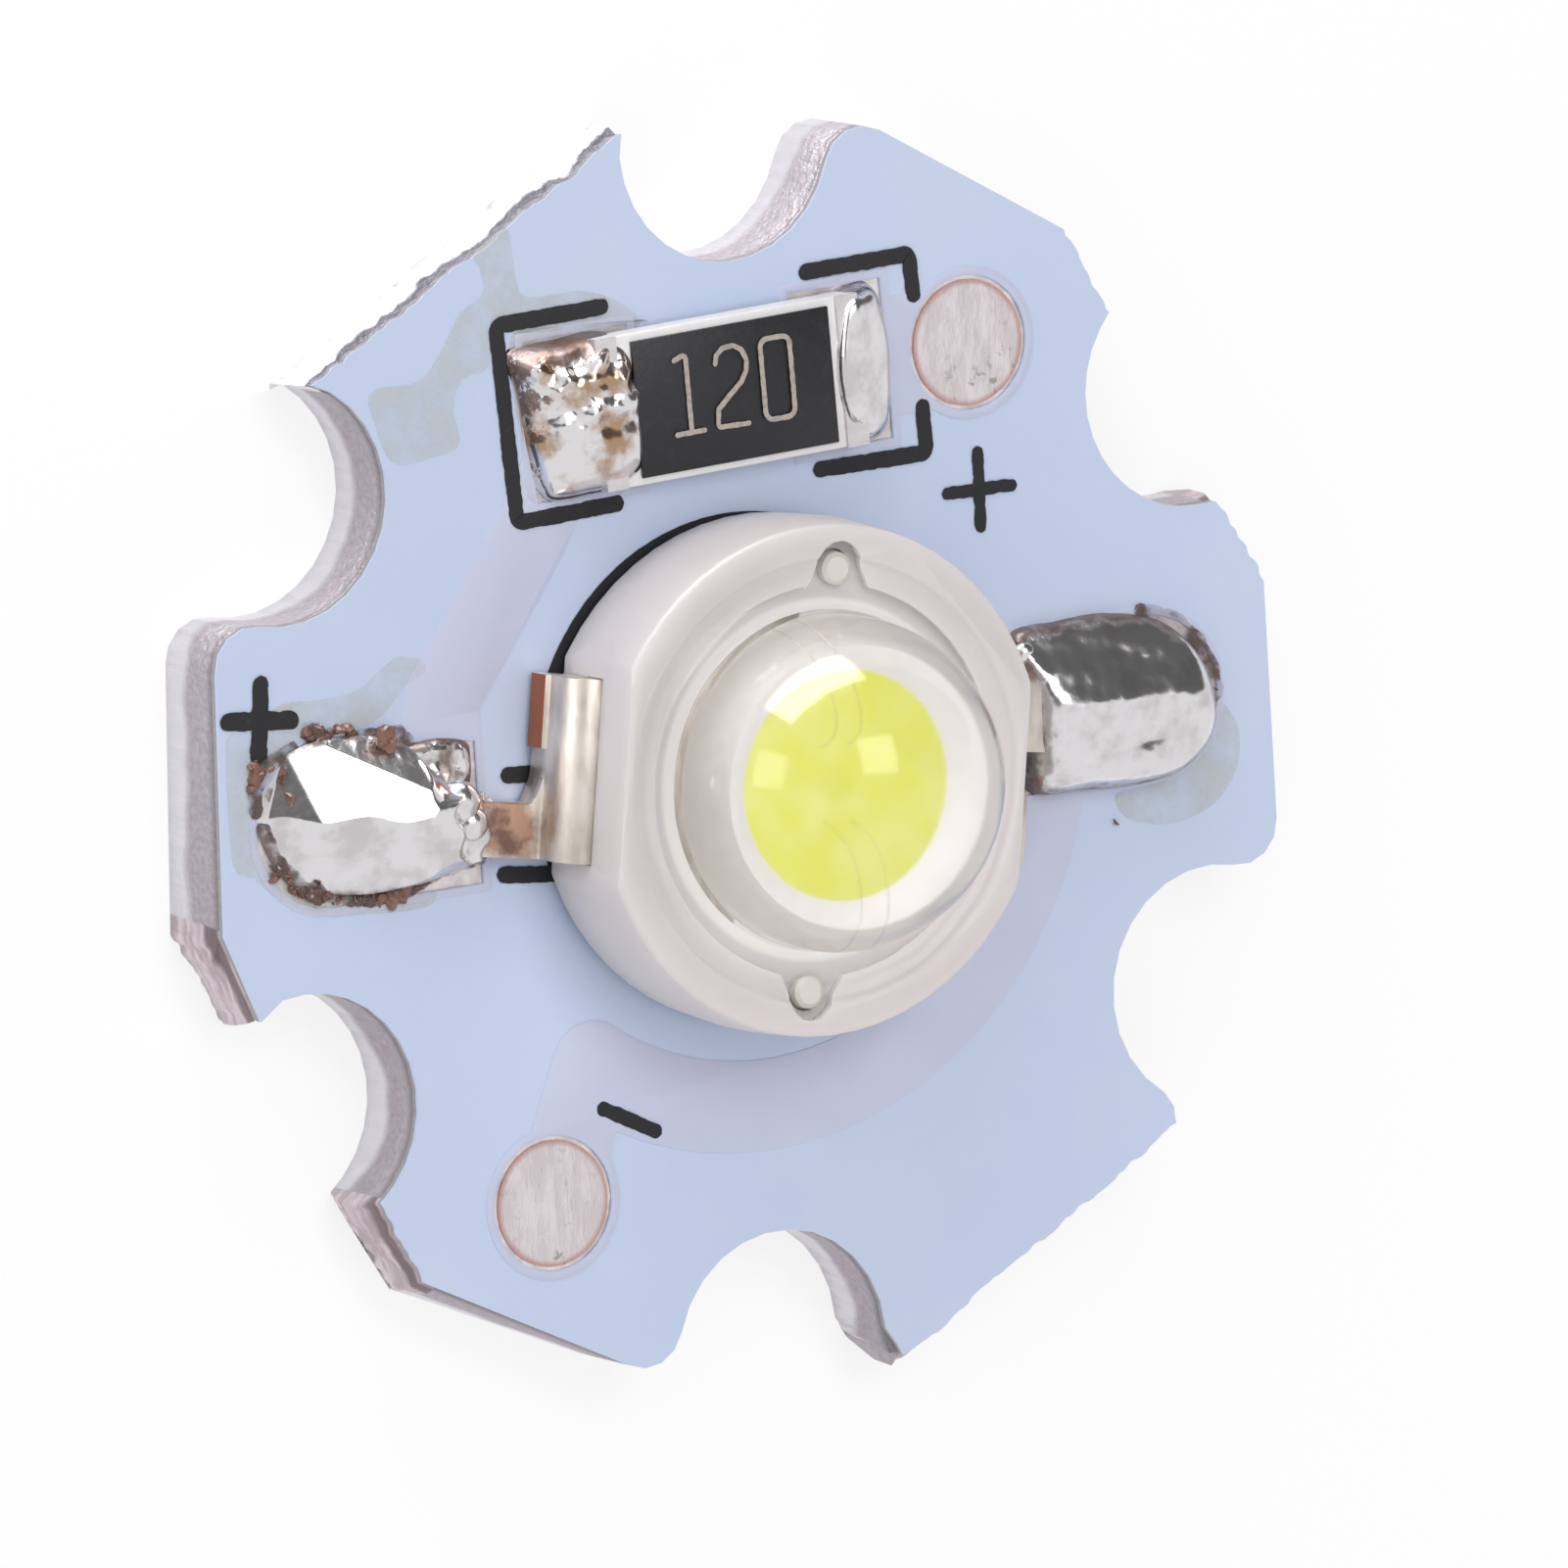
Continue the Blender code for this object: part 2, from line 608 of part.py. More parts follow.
def build_lead(name, side, material):
    """A stamped and bent lead with its half ring inside the package."""
    half_width = LEAD_WIDTH / 2
    profile = lead_side_profile()
    lead = loft(name, [[(x, y, z) for x, z in profile] for y in (-half_width, half_width)])
    cut(lead, plate("waste", lead_waste(side), -LEAD_WIDTH, LEAD_WIDTH))
    cut(lead, plate("inside", circle((LEAD_RING_INNER + LEAD_RING_OUTER) / 2), 0.0, LEAD_WIDTH))
    join(lead, plate("half_ring", half_ring(), LEAD_TOP - LEAD_THICKNESS, LEAD_TOP))
    return settle(paint(lead, material), LED_CENTRE, LED_TURN + lead_turn(side), SLUG_Z)


def lead_clearance(side):
    """The space that a lead takes in the package wall."""
    low, high = LEAD_TOP - LEAD_THICKNESS - SEAT_GAP, LEAD_TOP + SEAT_GAP
    half_width = LEAD_WIDTH / 2 + SEAT_GAP
    slot = plate("slot", box_outline(-BODY_RADIUS, -LEAD_RING_INNER, -half_width, half_width), low, high)
    join(slot, plate("half_ring_slot", half_ring(SEAT_GAP), low, high))
    slot.data.transform(Matrix.Rotation(lead_turn(side), 4, "Z"))
    return slot


def lug_outline(grow=0.0):
    """A lens lug, pointing at +Y: wide at the flange and rounded at its tip."""
    root = LUG_ROOT_WIDTH / 2 + grow
    tip = LUG_TIP_WIDTH / 2 + grow
    inner = LENS_SEAT_RADIUS - LUG_LAP_LENGTH
    tip_centre = (0.0, LUG_REACH - LUG_TIP_WIDTH / 2)
    return [(-root, inner), (root, inner)] + arc(tip_centre, tip, 0.0, math.pi, 8)


def build_package():
    """The moulded body: outer wall with flats, slug bore, lead slots, lens seat and lug pockets."""
    slug_bore = SLUG_FOOT_RADIUS + SEAT_GAP
    neck_bore = SLUG_NECK_RADIUS + SEAT_GAP
    shoulder = SLUG_FOOT_HEIGHT + SEAT_GAP
    wall = BODY_RADIUS - BODY_DRAFT
    step_floor = BODY_TOP - BODY_STEP_HEIGHT
    body = turned("led_body", [
        (slug_bore, BODY_BOTTOM),
        (wall, BODY_BOTTOM),
        (BODY_RADIUS, LEAD_CENTRE_HEIGHT),
        (wall, BODY_TOP - BODY_EDGE),
        (wall - BODY_EDGE * 0.3, BODY_TOP - BODY_EDGE * 0.3),
        (wall - BODY_EDGE, BODY_TOP),
        (BODY_STEP_RADIUS, BODY_TOP),
        (BODY_STEP_RADIUS - BODY_STEP_HEIGHT, step_floor),
        (LENS_SEAT_RADIUS, step_floor),
        (LENS_SEAT_RADIUS, LENS_SEAT),
        (WELL_RADIUS, LENS_SEAT),
        (WELL_RADIUS, WELL_FLOOR),
        (neck_bore, WELL_FLOOR),
        (neck_bore, shoulder),
        (slug_bore, shoulder),
    ], steps=BODY_STEPS)
    reach = BODY_RADIUS * 2
    for side in (-1, 1):
        near, far = sorted((side * BODY_FLAT, side * reach))
        cut(body, plate("flat", box_outline(near, far, -reach, reach), -reach, reach))
        cut(body, lead_clearance(side))
        pocket = plate("lug_pocket", lug_outline(SEAT_GAP), LENS_SEAT, BODY_TOP + SEAT_GAP)
        pin_hole = circle(LUG_PIN_RADIUS + SEAT_GAP, 16, (0.0, LUG_PIN_PLACE))
        join(pocket, plate("pin_hole", pin_hole, LENS_SEAT - LENS_SEAT_DEPTH, LENS_SEAT + SEAT_GAP))
        pocket.data.transform(Matrix.Rotation(lead_turn(side), 4, "Z"))
        cut(body, pocket)
    white = finish_material("milky_plastic", (0.77, 0.74, 0.75), 0.35)
    return settle(smooth(paint(body, white)), LED_CENTRE, LED_TURN, SLUG_Z)


def build_lens():
    """Clear domed lens with a flange and two pinned lugs."""
    seat = LENS_SEAT + SEAT_GAP
    flange = LENS_SEAT_RADIUS - SEAT_GAP
    shoulder = LENS_FLANGE_TOP - BODY_STEP_HEIGHT
    inner_radius = DOME_RADIUS - LENS_WALL
    profile = [(inner_radius, seat), (flange, seat), (flange, shoulder),
               (flange - BODY_STEP_HEIGHT, LENS_FLANGE_TOP), (DOME_RADIUS, LENS_FLANGE_TOP)]
    profile += dome_profile(DOME_RADIUS, DOME_CENTRE, DOME_CENTRE, 9)
    profile += reversed(dome_profile(inner_radius, DOME_CENTRE, DOME_CENTRE, 6))
    lens = turned("lens", profile)
    for side in (-1, 1):
        lug = plate("lug", lug_outline(), seat, shoulder)
        pin = circle(LUG_PIN_RADIUS, 16, (0.0, LUG_PIN_PLACE))
        join(lug, plate("pin", pin, seat - LENS_SEAT_DEPTH, seat + SEAT_GAP))
        lug.data.transform(Matrix.Rotation(lead_turn(side), 4, "Z"))
        join(lens, lug)
    clear = finish_material("clear_lens", (0.95, 0.95, 0.96), 0.05, 0.0, 1.0)
    return settle(smooth(paint(lens, clear)), LED_CENTRE, LED_TURN, SLUG_Z)


def phosphor_crown(grow=0.0):
    """Section of the fill's crowned top, from the cup's wall to the pole."""
    edge_height = SLUG_HEIGHT - FACE_GAP - PHOSPHOR_CROWN
    points = []
    for step in range(6):
        angle = step / 6 * math.pi / 2
        points.append((PHOSPHOR_RADIUS * math.cos(angle),
                       edge_height + PHOSPHOR_CROWN * math.sin(angle) + grow))
    return points + [(0.0, edge_height + PHOSPHOR_CROWN + grow)]


def build_light_source():
    """Thermal bond, heat slug with its cup, die, phosphor fill and clear gel."""
    bond = finish_material("thermal_bond", (0.8, 0.8, 0.78), 0.6)
    plate("thermal_bond", circle(SLUG_FOOT_RADIUS, centre=LED_CENTRE), PAD_TOP,
          PAD_TOP + BOND_THICKNESS, bond)

    plated = finish_material("plated_copper", (0.86, 0.84, 0.82), 0.25, 1.0)
    slug = turned("heat_slug", [
        (0.0, 0.0),
        (SLUG_FOOT_RADIUS, 0.0),
        (SLUG_FOOT_RADIUS, SLUG_FOOT_HEIGHT),
        (SLUG_NECK_RADIUS, SLUG_FOOT_HEIGHT),
        (SLUG_NECK_RADIUS, SLUG_HEIGHT),
        (CUP_RIM_RADIUS, SLUG_HEIGHT),
        (CUP_FLOOR_RADIUS, CUP_FLOOR),
        (0.0, CUP_FLOOR),
    ], plated)
    settle(slug, LED_CENTRE, LED_TURN, SLUG_Z)

    blue = finish_material("led_die", (0.25, 0.35, 0.55), 0.25, 0.3)
    half = DIE_SIZE / 2
    die = plate("led_die", box_outline(-half, half, -half, half), DIE_Z, DIE_Z + DIE_HEIGHT, blue)
    settle(die, LED_CENTRE, LED_TURN, SLUG_Z)

    yellow = finish_material("phosphor", (0.78, 0.83, 0.16), 0.45)
    fill = [(0.0, DIE_Z), (CUP_FLOOR_RADIUS - SEAT_GAP, DIE_Z)] + phosphor_crown()
    phosphor = turned("phosphor", fill)
    half += SEAT_GAP
    cut(phosphor, plate("die_pocket", box_outline(-half, half, -half, half), CUP_FLOOR,
                        DIE_Z + DIE_HEIGHT + SEAT_GAP))
    settle(smooth(paint(phosphor, yellow)), LED_CENTRE, LED_TURN, SLUG_Z)

    silicone = finish_material("silicone_gel", (0.95, 0.95, 0.95), 0.1, 0.0, 1.0)
    outer = DOME_RADIUS - LENS_WALL - SEAT_GAP
    profile = [
        (SLUG_NECK_RADIUS + SEAT_GAP, WELL_FLOOR + SEAT_GAP),
        (WELL_RADIUS - SEAT_GAP, WELL_FLOOR + SEAT_GAP),
        (WELL_RADIUS - SEAT_GAP, LENS_SEAT),
        (outer, LENS_SEAT),
    ]
    profile += dome_profile(outer, DOME_CENTRE, DOME_CENTRE, 6)
    profile += reversed(phosphor_crown(FACE_GAP))
    profile += [
        (CUP_RIM_RADIUS, SLUG_HEIGHT + FACE_GAP),
        (SLUG_NECK_RADIUS + SEAT_GAP, SLUG_HEIGHT + FACE_GAP),
    ]
    settle(turned("silicone_gel", profile, silicone), LED_CENTRE, LED_TURN, SLUG_Z)


def build_wires():
    """Four bond wires that arch from the die to the ends of the lead rings."""
    gold = finish_material("gold_wire", (0.95, 0.75, 0.35), 0.25, 1.0)
    start_height = DIE_Z + DIE_HEIGHT + WIRE_RADIUS + FACE_GAP
    drop = LEAD_TOP + WIRE_RADIUS + FACE_GAP - start_height
    for side, lead in ((-1, "left"), (1, "right")):
        for index, (start, angle) in enumerate(zip(WIRE_STARTS, WIRE_LANDING_ANGLES)):
            end = polar(WIRE_LANDING_RADIUS, angle)
            span = (end[0] - start[0], end[1] - start[1])
            heading = math.atan2(span[1], span[0])
            path = []
            for step in range(WIRE_STEPS + 1):
                share = step / WIRE_STEPS
                height = start_height + drop * share ** 4 + WIRE_LOOP_HEIGHT * (1 - (2 * share - 1) ** 4)
                path.append((start[0] + span[0] * share, start[1] + span[1] * share, height))
            wire = tube(f"{lead}_bond_wire_{index + 1}", path, heading, WIRE_RADIUS, gold)
            settle(wire, LED_CENTRE, LED_TURN + lead_turn(side), SLUG_Z)


def tube(name, path, heading, radius, material):
    """A round wire along a path that stays in one upright plane."""
    loops = []
    for index, (x, y, z) in enumerate(path):
        before, after = path[max(index - 1, 0)], path[min(index + 1, len(path) - 1)]
        run = math.hypot(after[0] - before[0], after[1] - before[1])
        pitch = math.atan2(after[2] - before[2], run)
        loop = []
        for side in range(WIRE_SIDES):
            angle = math.tau * side / WIRE_SIDES
            across, up = radius * math.cos(angle), radius * math.sin(angle)
            along = -up * math.sin(pitch)
            loop.append((x + along * math.cos(heading) - across * math.sin(heading),
                         y + along * math.sin(heading) + across * math.cos(heading),
                         z + up * math.cos(pitch)))
        loops.append(loop)
    return loft(name, loops, material)


def build_resistor():
    """Ceramic chip with its resistive film, black coat and two wrap-round terminations."""
    bottom = PAD_TOP + RESISTOR_LIFT
    top = bottom + RESISTOR_HEIGHT
    shell = TERMINATION_THICKNESS + FACE_GAP
    half_length, half_width = RESISTOR_LENGTH / 2, RESISTOR_WIDTH / 2
    core_low, core_high = bottom + shell, top - shell
    core_end = half_length - shell

    ceramic = finish_material("alumina", (0.86, 0.86, 0.86), 0.5)
    core = box_outline(-core_end, core_end, -half_width, half_width)
    plate("resistor_substrate", on_resistor(core), core_low, core_high, ceramic)

    metal = finish_material("tinned_termination", (0.8, 0.8, 0.8), 0.3, 1.0)
    inner_end = half_length - TERMINATION_LENGTH
    for side, name in ((-1, "left_termination"), (1, "right_termination")):
        cap = plate(name, box_outline(inner_end, half_length, -half_width, half_width), bottom, top)
        cut(cap, plate("cap_room", box_outline(0.0, core_end + FACE_GAP, -RESISTOR_WIDTH, RESISTOR_WIDTH),
                       core_low - FACE_GAP, core_high + FACE_GAP))
        settle(paint(cap, metal), RESISTOR_CENTRE, RESISTOR_TURN + (math.pi if side < 0 else 0.0))

    film_colour = finish_material("resistive_film", (0.12, 0.1, 0.1), 0.5)
    film_x, film_y = COAT_LENGTH / 2 - FILM_MARGIN, COAT_WIDTH / 2 - FILM_MARGIN
    film_low = core_high + FACE_GAP
    film_high = film_low + FILM_THICKNESS
    plate("resistive_film", on_resistor(box_outline(-film_x, film_x, -film_y, film_y)), film_low,
          film_high, film_colour)

    black = finish_material("black_coat", (0.018, 0.018, 0.022), 0.3)
    coat_x, coat_y = COAT_LENGTH / 2, COAT_WIDTH / 2
    coat = plate("resistor_coat", box_outline(-coat_x, coat_x, -coat_y, coat_y), film_low,
                 film_low + COAT_THICKNESS)
    film_x += FACE_GAP
    film_y += FACE_GAP
    cut(coat, plate("film_room", box_outline(-film_x, film_x, -film_y, film_y), core_high,
                    film_high + FACE_GAP))
    settle(paint(coat, black), RESISTOR_CENTRE, RESISTOR_TURN)


def mound(name, outline, height, fullness=2.0):
    """A solder mound that swells from an outline; fullness flattens its top."""
    centre_x = sum(x for x, _ in outline) / len(outline)
    centre_y = sum(y for _, y in outline) / len(outline)
    builder = bmesh.new()
    rows = []
    for ring in range(JOINT_RINGS):
        share = math.cos(math.pi / 2 * ring / JOINT_RINGS)
        level = PAD_TOP + height * math.sqrt(1.0 - share ** fullness)
        rows.append([builder.verts.new((centre_x + (x - centre_x) * share,
                                        centre_y + (y - centre_y) * share, level)) for x, y in outline])
    pole = builder.verts.new((centre_x, centre_y, PAD_TOP + height))
    for index in range(len(outline)):
        after = (index + 1) % len(outline)
        for lower, upper in zip(rows, rows[1:]):
            builder.faces.new((lower[index], lower[after], upper[after], upper[index]))
        builder.faces.new((rows[-1][index], rows[-1][after], pole))
    builder.faces.new(list(reversed(rows[0])))
    return add_object(name, builder)


def foot_room(side):
    """The space that a lead's foot takes in its solder joint."""
    foot_top = LEAD_FOOT_WIDTH - LEAD_WIDTH / 2 + SEAT_GAP
    low = LEAD_FOOT_HEIGHT - SEAT_GAP
    high = LEAD_FOOT_HEIGHT + LEAD_THICKNESS + SEAT_GAP
    room = plate("foot_room", box_outline(-LEAD_FOOT_END - SEAT_GAP, -BODY_FLAT,
                                          -LEAD_WIDTH / 2 - SEAT_GAP, foot_top), low, high)
    return settle(room, LED_CENTRE, LED_TURN + lead_turn(side), SLUG_Z)


def dense(outline, longest):
    """An outline with its long sides divided."""
    points = []
    for (x0, y0), (x1, y1) in zip(outline, outline[1:] + outline[:1]):
        count = max(1, math.ceil(math.hypot(x1 - x0, y1 - y0) / longest))
        points += [(x0 + (x1 - x0) * step / count, y0 + (y1 - y0) * step / count)
                   for step in range(count)]
    return points


def build_joints():
    """Solder joints of the two LED leads and of the resistor's two ends."""
    solder = finish_material("solder", (0.78, 0.77, 0.78), 0.2, 1.0)
    width = LED_PAD_WIDTH - 2 * SEAT_GAP
    outer = {side: LED_PAD_OUTER[side] - SEAT_GAP for side in (-1, 1)}
    blob = stroke([(LEFT_JOINT_INNER + width / 2, 0.0), (outer[-1] - width / 2, 0.0)], width, 10)
    left = mound("left_lead_joint", on_footprint(blob, -1), LED_JOINT_HEIGHT)
    foot_middle = (LEAD_FOOT_WIDTH - LEAD_WIDTH) / 2
    neck = stroke([(-NECK_SPAN[0] - NECK_WIDTH / 2, foot_middle),
                   (-NECK_SPAN[1] + NECK_WIDTH / 2 - 2 * SEAT_GAP, foot_middle)], NECK_WIDTH, 8)
    join(left, mound("neck", on_board(neck, LED_CENTRE, LED_TURN), NECK_HEIGHT))
    slot = dense(half_slot(LED_PAD_INNER + SEAT_GAP, outer[1], width), width / 5)
    right = mound("right_lead_joint", on_footprint(slot, 1), LED_JOINT_HEIGHT, 3.0)
    for side, joint in ((-1, left), (1, right)):
        cut(joint, foot_room(side))
        smooth(paint(joint, solder))

    bottom = PAD_TOP + RESISTOR_LIFT
    half_width = RESISTOR_JOINT_WIDTH / 2
    for side, name in ((-1, "left_resistor_joint"), (1, "right_resistor_joint")):
        outer_end = RESISTOR_PAD_OUTER[side] - SEAT_GAP
        outline = dense(box_outline(RESISTOR_JOINT_INNER, outer_end, -half_width, half_width),
                        half_width / 3)
        joint = mound(name, on_resistor(outline, side), RESISTOR_JOINT_HEIGHT[side], 5.0)
        room = box_outline(-RESISTOR_LENGTH / 2 - SEAT_GAP, RESISTOR_LENGTH / 2 + SEAT_GAP,
                           -RESISTOR_WIDTH, RESISTOR_WIDTH)
        cut(joint, plate("resistor_room", on_resistor(room), bottom - SEAT_GAP,
                         bottom + RESISTOR_HEIGHT + SEAT_GAP))
        smooth(paint(joint, solder))


def scale_to_metres():
    """Divide the many-sided faces and bring every piece from millimetres to metres."""
    for obj in bpy.data.objects:
        builder = bmesh.new()
        builder.from_mesh(obj.data)
        wide = [face for face in builder.faces if len(face.verts) > 3]
        bmesh.ops.triangulate(builder, faces=wide)
        bmesh.ops.transform(builder, matrix=Matrix.Scale(MILLIMETRE, 4), verts=builder.verts)
        builder.to_mesh(obj.data)
        builder.free()


remove_everything()
build_board()
build_print()
tinned = finish_material("tinned_lead", (0.8, 0.78, 0.74), 0.25, 1.0)
build_lead("left_lead", -1, tinned)
build_lead("right_lead", 1, tinned)
build_package()
build_lens()
build_light_source()
build_wires()
build_resistor()
build_joints()
scale_to_metres()
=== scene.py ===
"""Power LED on a star-shaped aluminium circuit board, dressed over its CAD solids.

Shapes are drawn in millimetres in the board's own axes and scaled to metres as they are placed.
"""

import math

import bmesh
import bpy
from mathutils import Matrix, Vector, noise


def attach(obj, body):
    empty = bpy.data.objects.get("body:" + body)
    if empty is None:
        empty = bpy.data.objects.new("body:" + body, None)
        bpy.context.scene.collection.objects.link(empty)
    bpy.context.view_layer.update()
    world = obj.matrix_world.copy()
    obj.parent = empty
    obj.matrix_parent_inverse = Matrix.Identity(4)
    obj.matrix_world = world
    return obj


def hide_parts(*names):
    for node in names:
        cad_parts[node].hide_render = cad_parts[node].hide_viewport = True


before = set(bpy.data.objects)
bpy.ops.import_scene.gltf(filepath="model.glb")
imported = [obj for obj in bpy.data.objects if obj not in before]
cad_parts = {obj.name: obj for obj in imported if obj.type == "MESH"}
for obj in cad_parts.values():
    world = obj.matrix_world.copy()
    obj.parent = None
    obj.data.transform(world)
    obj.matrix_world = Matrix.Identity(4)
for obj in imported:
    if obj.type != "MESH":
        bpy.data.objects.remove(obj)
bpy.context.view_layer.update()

# Camera. The picture looks down on the board from its left side, 58 degrees above it, through
# a long lens that stands 373 mm away.
MM = 0.001
BOARD_TOP = 1.665

camera_data = bpy.data.cameras.new("camera")
camera_data.sensor_width = 36.0
camera_data.lens = 526.0
camera_data.clip_start = 0.05
camera_data.clip_end = 5.0
camera = bpy.data.objects.new("camera", camera_data)
picture_right = Vector((0.8524, -0.048, 0.5207))
picture_up = Vector((0.1192, 0.9874, -0.1042))
camera_axes = Matrix((picture_right, picture_up, picture_right.cross(picture_up))).transposed()
camera_place = Vector((-189.856, 55.758, 316.871 + BOARD_TOP)) * MM
camera.matrix_world = Matrix.Translation(camera_place) @ camera_axes.to_4x4()
bpy.context.scene.collection.objects.link(camera)
bpy.context.scene.camera = camera


# Base plate. A 1.5 mm aluminium star, punched out with its six screw notches. The walls keep the
# punch's drag marks, and the sides that hung on the next boards are snapped and torn. The side at
# 120 degrees is painted near-white as a painted reflection of the lamps, with a painted shadow line
# near its top, and the scored sides carry a dark band that is partly painted shade.
PUNCH_BURR = 0.035
BURNISHED = (226, 223, 230)
BURNISHED_SHADE = (204, 200, 208)
TORN = (186, 178, 186)
TORN_SHADE = (164, 156, 162)
SCORED = (216, 203, 209)
SCORED_SHADE = (186, 172, 178)
# The dark band below the top of the scored sides is partly the torn edge's darker metal and partly
# painted shade under the score.
SCORED_TORN_AND_SHADE = (104, 90, 92)
# Painted glare: the side at 120 degrees is coloured near-white to stand in for the lamps'
# reflection in its metal, with faint drag marks in it.
SNAPPED_PAINTED_GLARE = (238, 238, 242)
SNAPPED_SHADE = (206, 205, 212)
SNAP_LINE = (138, 134, 140)
# Painted shadow: a dark line near the top of the 120-degree side, where the score lies in shade
# under the mask's edge.
SNAP_PAINTED_SHADOW = (94, 93, 100)
SNAPPED_SIDES = {30: 9.47, 120: 9.94, 210: 9.80, 300: 10.16}
SNAP_LEAN = {30: 0.0, 120: 0.24, 210: 0.0, 300: 0.1}
SNAP_RAGGEDNESS = 0.1
# How near a point is to a snapped side that belongs to it, how far the notch in the side's middle
# reaches, the shortest edge that is cut up, how often it is cut, and how deep the side's look goes.
SIDE_REACH = 0.06
SIDE_NOTCH = 1.5
SIDE_EDGE = 0.8
SIDE_CUTS = 60
SIDE_BAND = 0.17
# Above this height the punched walls are torn.
TEAR_LEVEL = 0.62
# The broken corners: from a corner's place in CAD to its places at the board's bottom and top. A
# point this near a corner moves with it.
CORNER_REACH = 0.02
HALF_THICKNESS = 0.75
BROKEN_CORNERS = {(8.44, -6.99): ((7.8, -7.28), (7.8, -7.28)),
                  (7.98, -6.88): ((7.74, -6.93), (7.74, -6.93)),
                  (8.74, -7.0): ((7.95, -7.32), (7.95, -7.32)),
                  (8.25, -6.96): ((7.75, -7.12), (7.75, -7.12)),
                  (7.79, -6.8): ((7.64, -6.85), (7.64, -6.85)),
                  (1.83, -10.8): ((2.3, -10.45), (2.35, -10.45)),
                  (1.97, -10.35): ((2.14, -10.2), (2.2, -10.2)),
                  (1.69, -11.07): ((2.5, -10.78), (2.5, -10.78)),
                  (1.9, -10.63): ((2.35, -10.45), (2.35, -10.45)),
                  (-10.0, -2.28): ((-10.2, -1.95), (-10.1, -1.9)),
                  (-10.0, -2.6): ((-10.2, -2.0), (-10.16, -1.98)),
                  (-9.48, -3.18): ((-9.32, -3.62), (-9.52, -3.36)),
                  (-9.63, -3.25): ((-9.42, -3.58), (-9.46, -3.5)),
                  (-6.97, -7.52): ((-6.45, -8.35), (-6.76, -8.0)),
                  (-7.25, -7.36): ((-6.6, -8.3), (-6.66, -8.2))}


class Reading:
    """What a node's socket gives. Python's operators on it add the Math nodes."""

    def __init__(self, net, socket):
        self.net = net
        self.socket = socket

    def maths(self, operation, *others):
        return self.net.node("ShaderNodeMath", {"operation": operation},
                             dict(enumerate((self, *others))))

    def __add__(self, other):
        return self.maths("ADD", other)

    def __mul__(self, other):
        return self.maths("MULTIPLY", other)

    def __sub__(self, other):
        return self.maths("SUBTRACT", other)

    def __rsub__(self, other):
        return (self * -1.0) + other

    def __truediv__(self, other):
        return self.maths("DIVIDE", other)

    __radd__ = __add__
    __rmul__ = __mul__


class Net:
    """A node tree, with short ways to add its nodes."""

    def __init__(self, tree):
        self.tree = tree

    def node(self, kind, settings=None, sockets=None, output=0):
        made = self.tree.nodes.new(kind)
        for name, value in (settings or {}).items():
            setattr(made, name, value)
        for key, value in (sockets or {}).items():
            if isinstance(value, Reading):
                self.tree.links.new(value.socket, made.inputs[key])
            else:
                made.inputs[key].default_value = value
        return Reading(self, made.outputs[output])

    def vectors(self, operation, first, second, output=0):
        return self.node("ShaderNodeVectorMath", {"operation": operation},
                         {0: first, 1: second}, output)

    def scaled(self, vector, scale):
        return self.node("ShaderNodeVectorMath", {"operation": "SCALE"},
                         {0: vector, "Scale": scale})

    def moved(self, geometry, offset):
        return self.node("GeometryNodeSetPosition", {}, {"Geometry": geometry, "Offset": offset})

    def noise(self, vector, scale, detail, roughness=0.5, output=0):
        return self.node("ShaderNodeTexNoise", {}, {
            "Vector": vector, "Scale": scale, "Detail": detail, "Roughness": roughness}, output)

    def ease(self, value, low, high, start=0.0, end=1.0):
        """A soft step from start to end as the value goes from low to high."""
        return self.node("ShaderNodeMapRange", {"interpolation_type": "SMOOTHSTEP"},
                         {"Value": value, "From Min": low, "From Max": high,
                          "To Min": start, "To Max": end})


def colour_of(picture_colour):
    """A colour read off the picture, 0 to 255, as the shader's linear values."""
    linear = []
    for part in picture_colour:
        share = part / 255
        linear.append(share / 12.92 if share <= 0.04045 else ((share + 0.055) / 1.055) ** 2.4)
    return (*linear, 1.0)


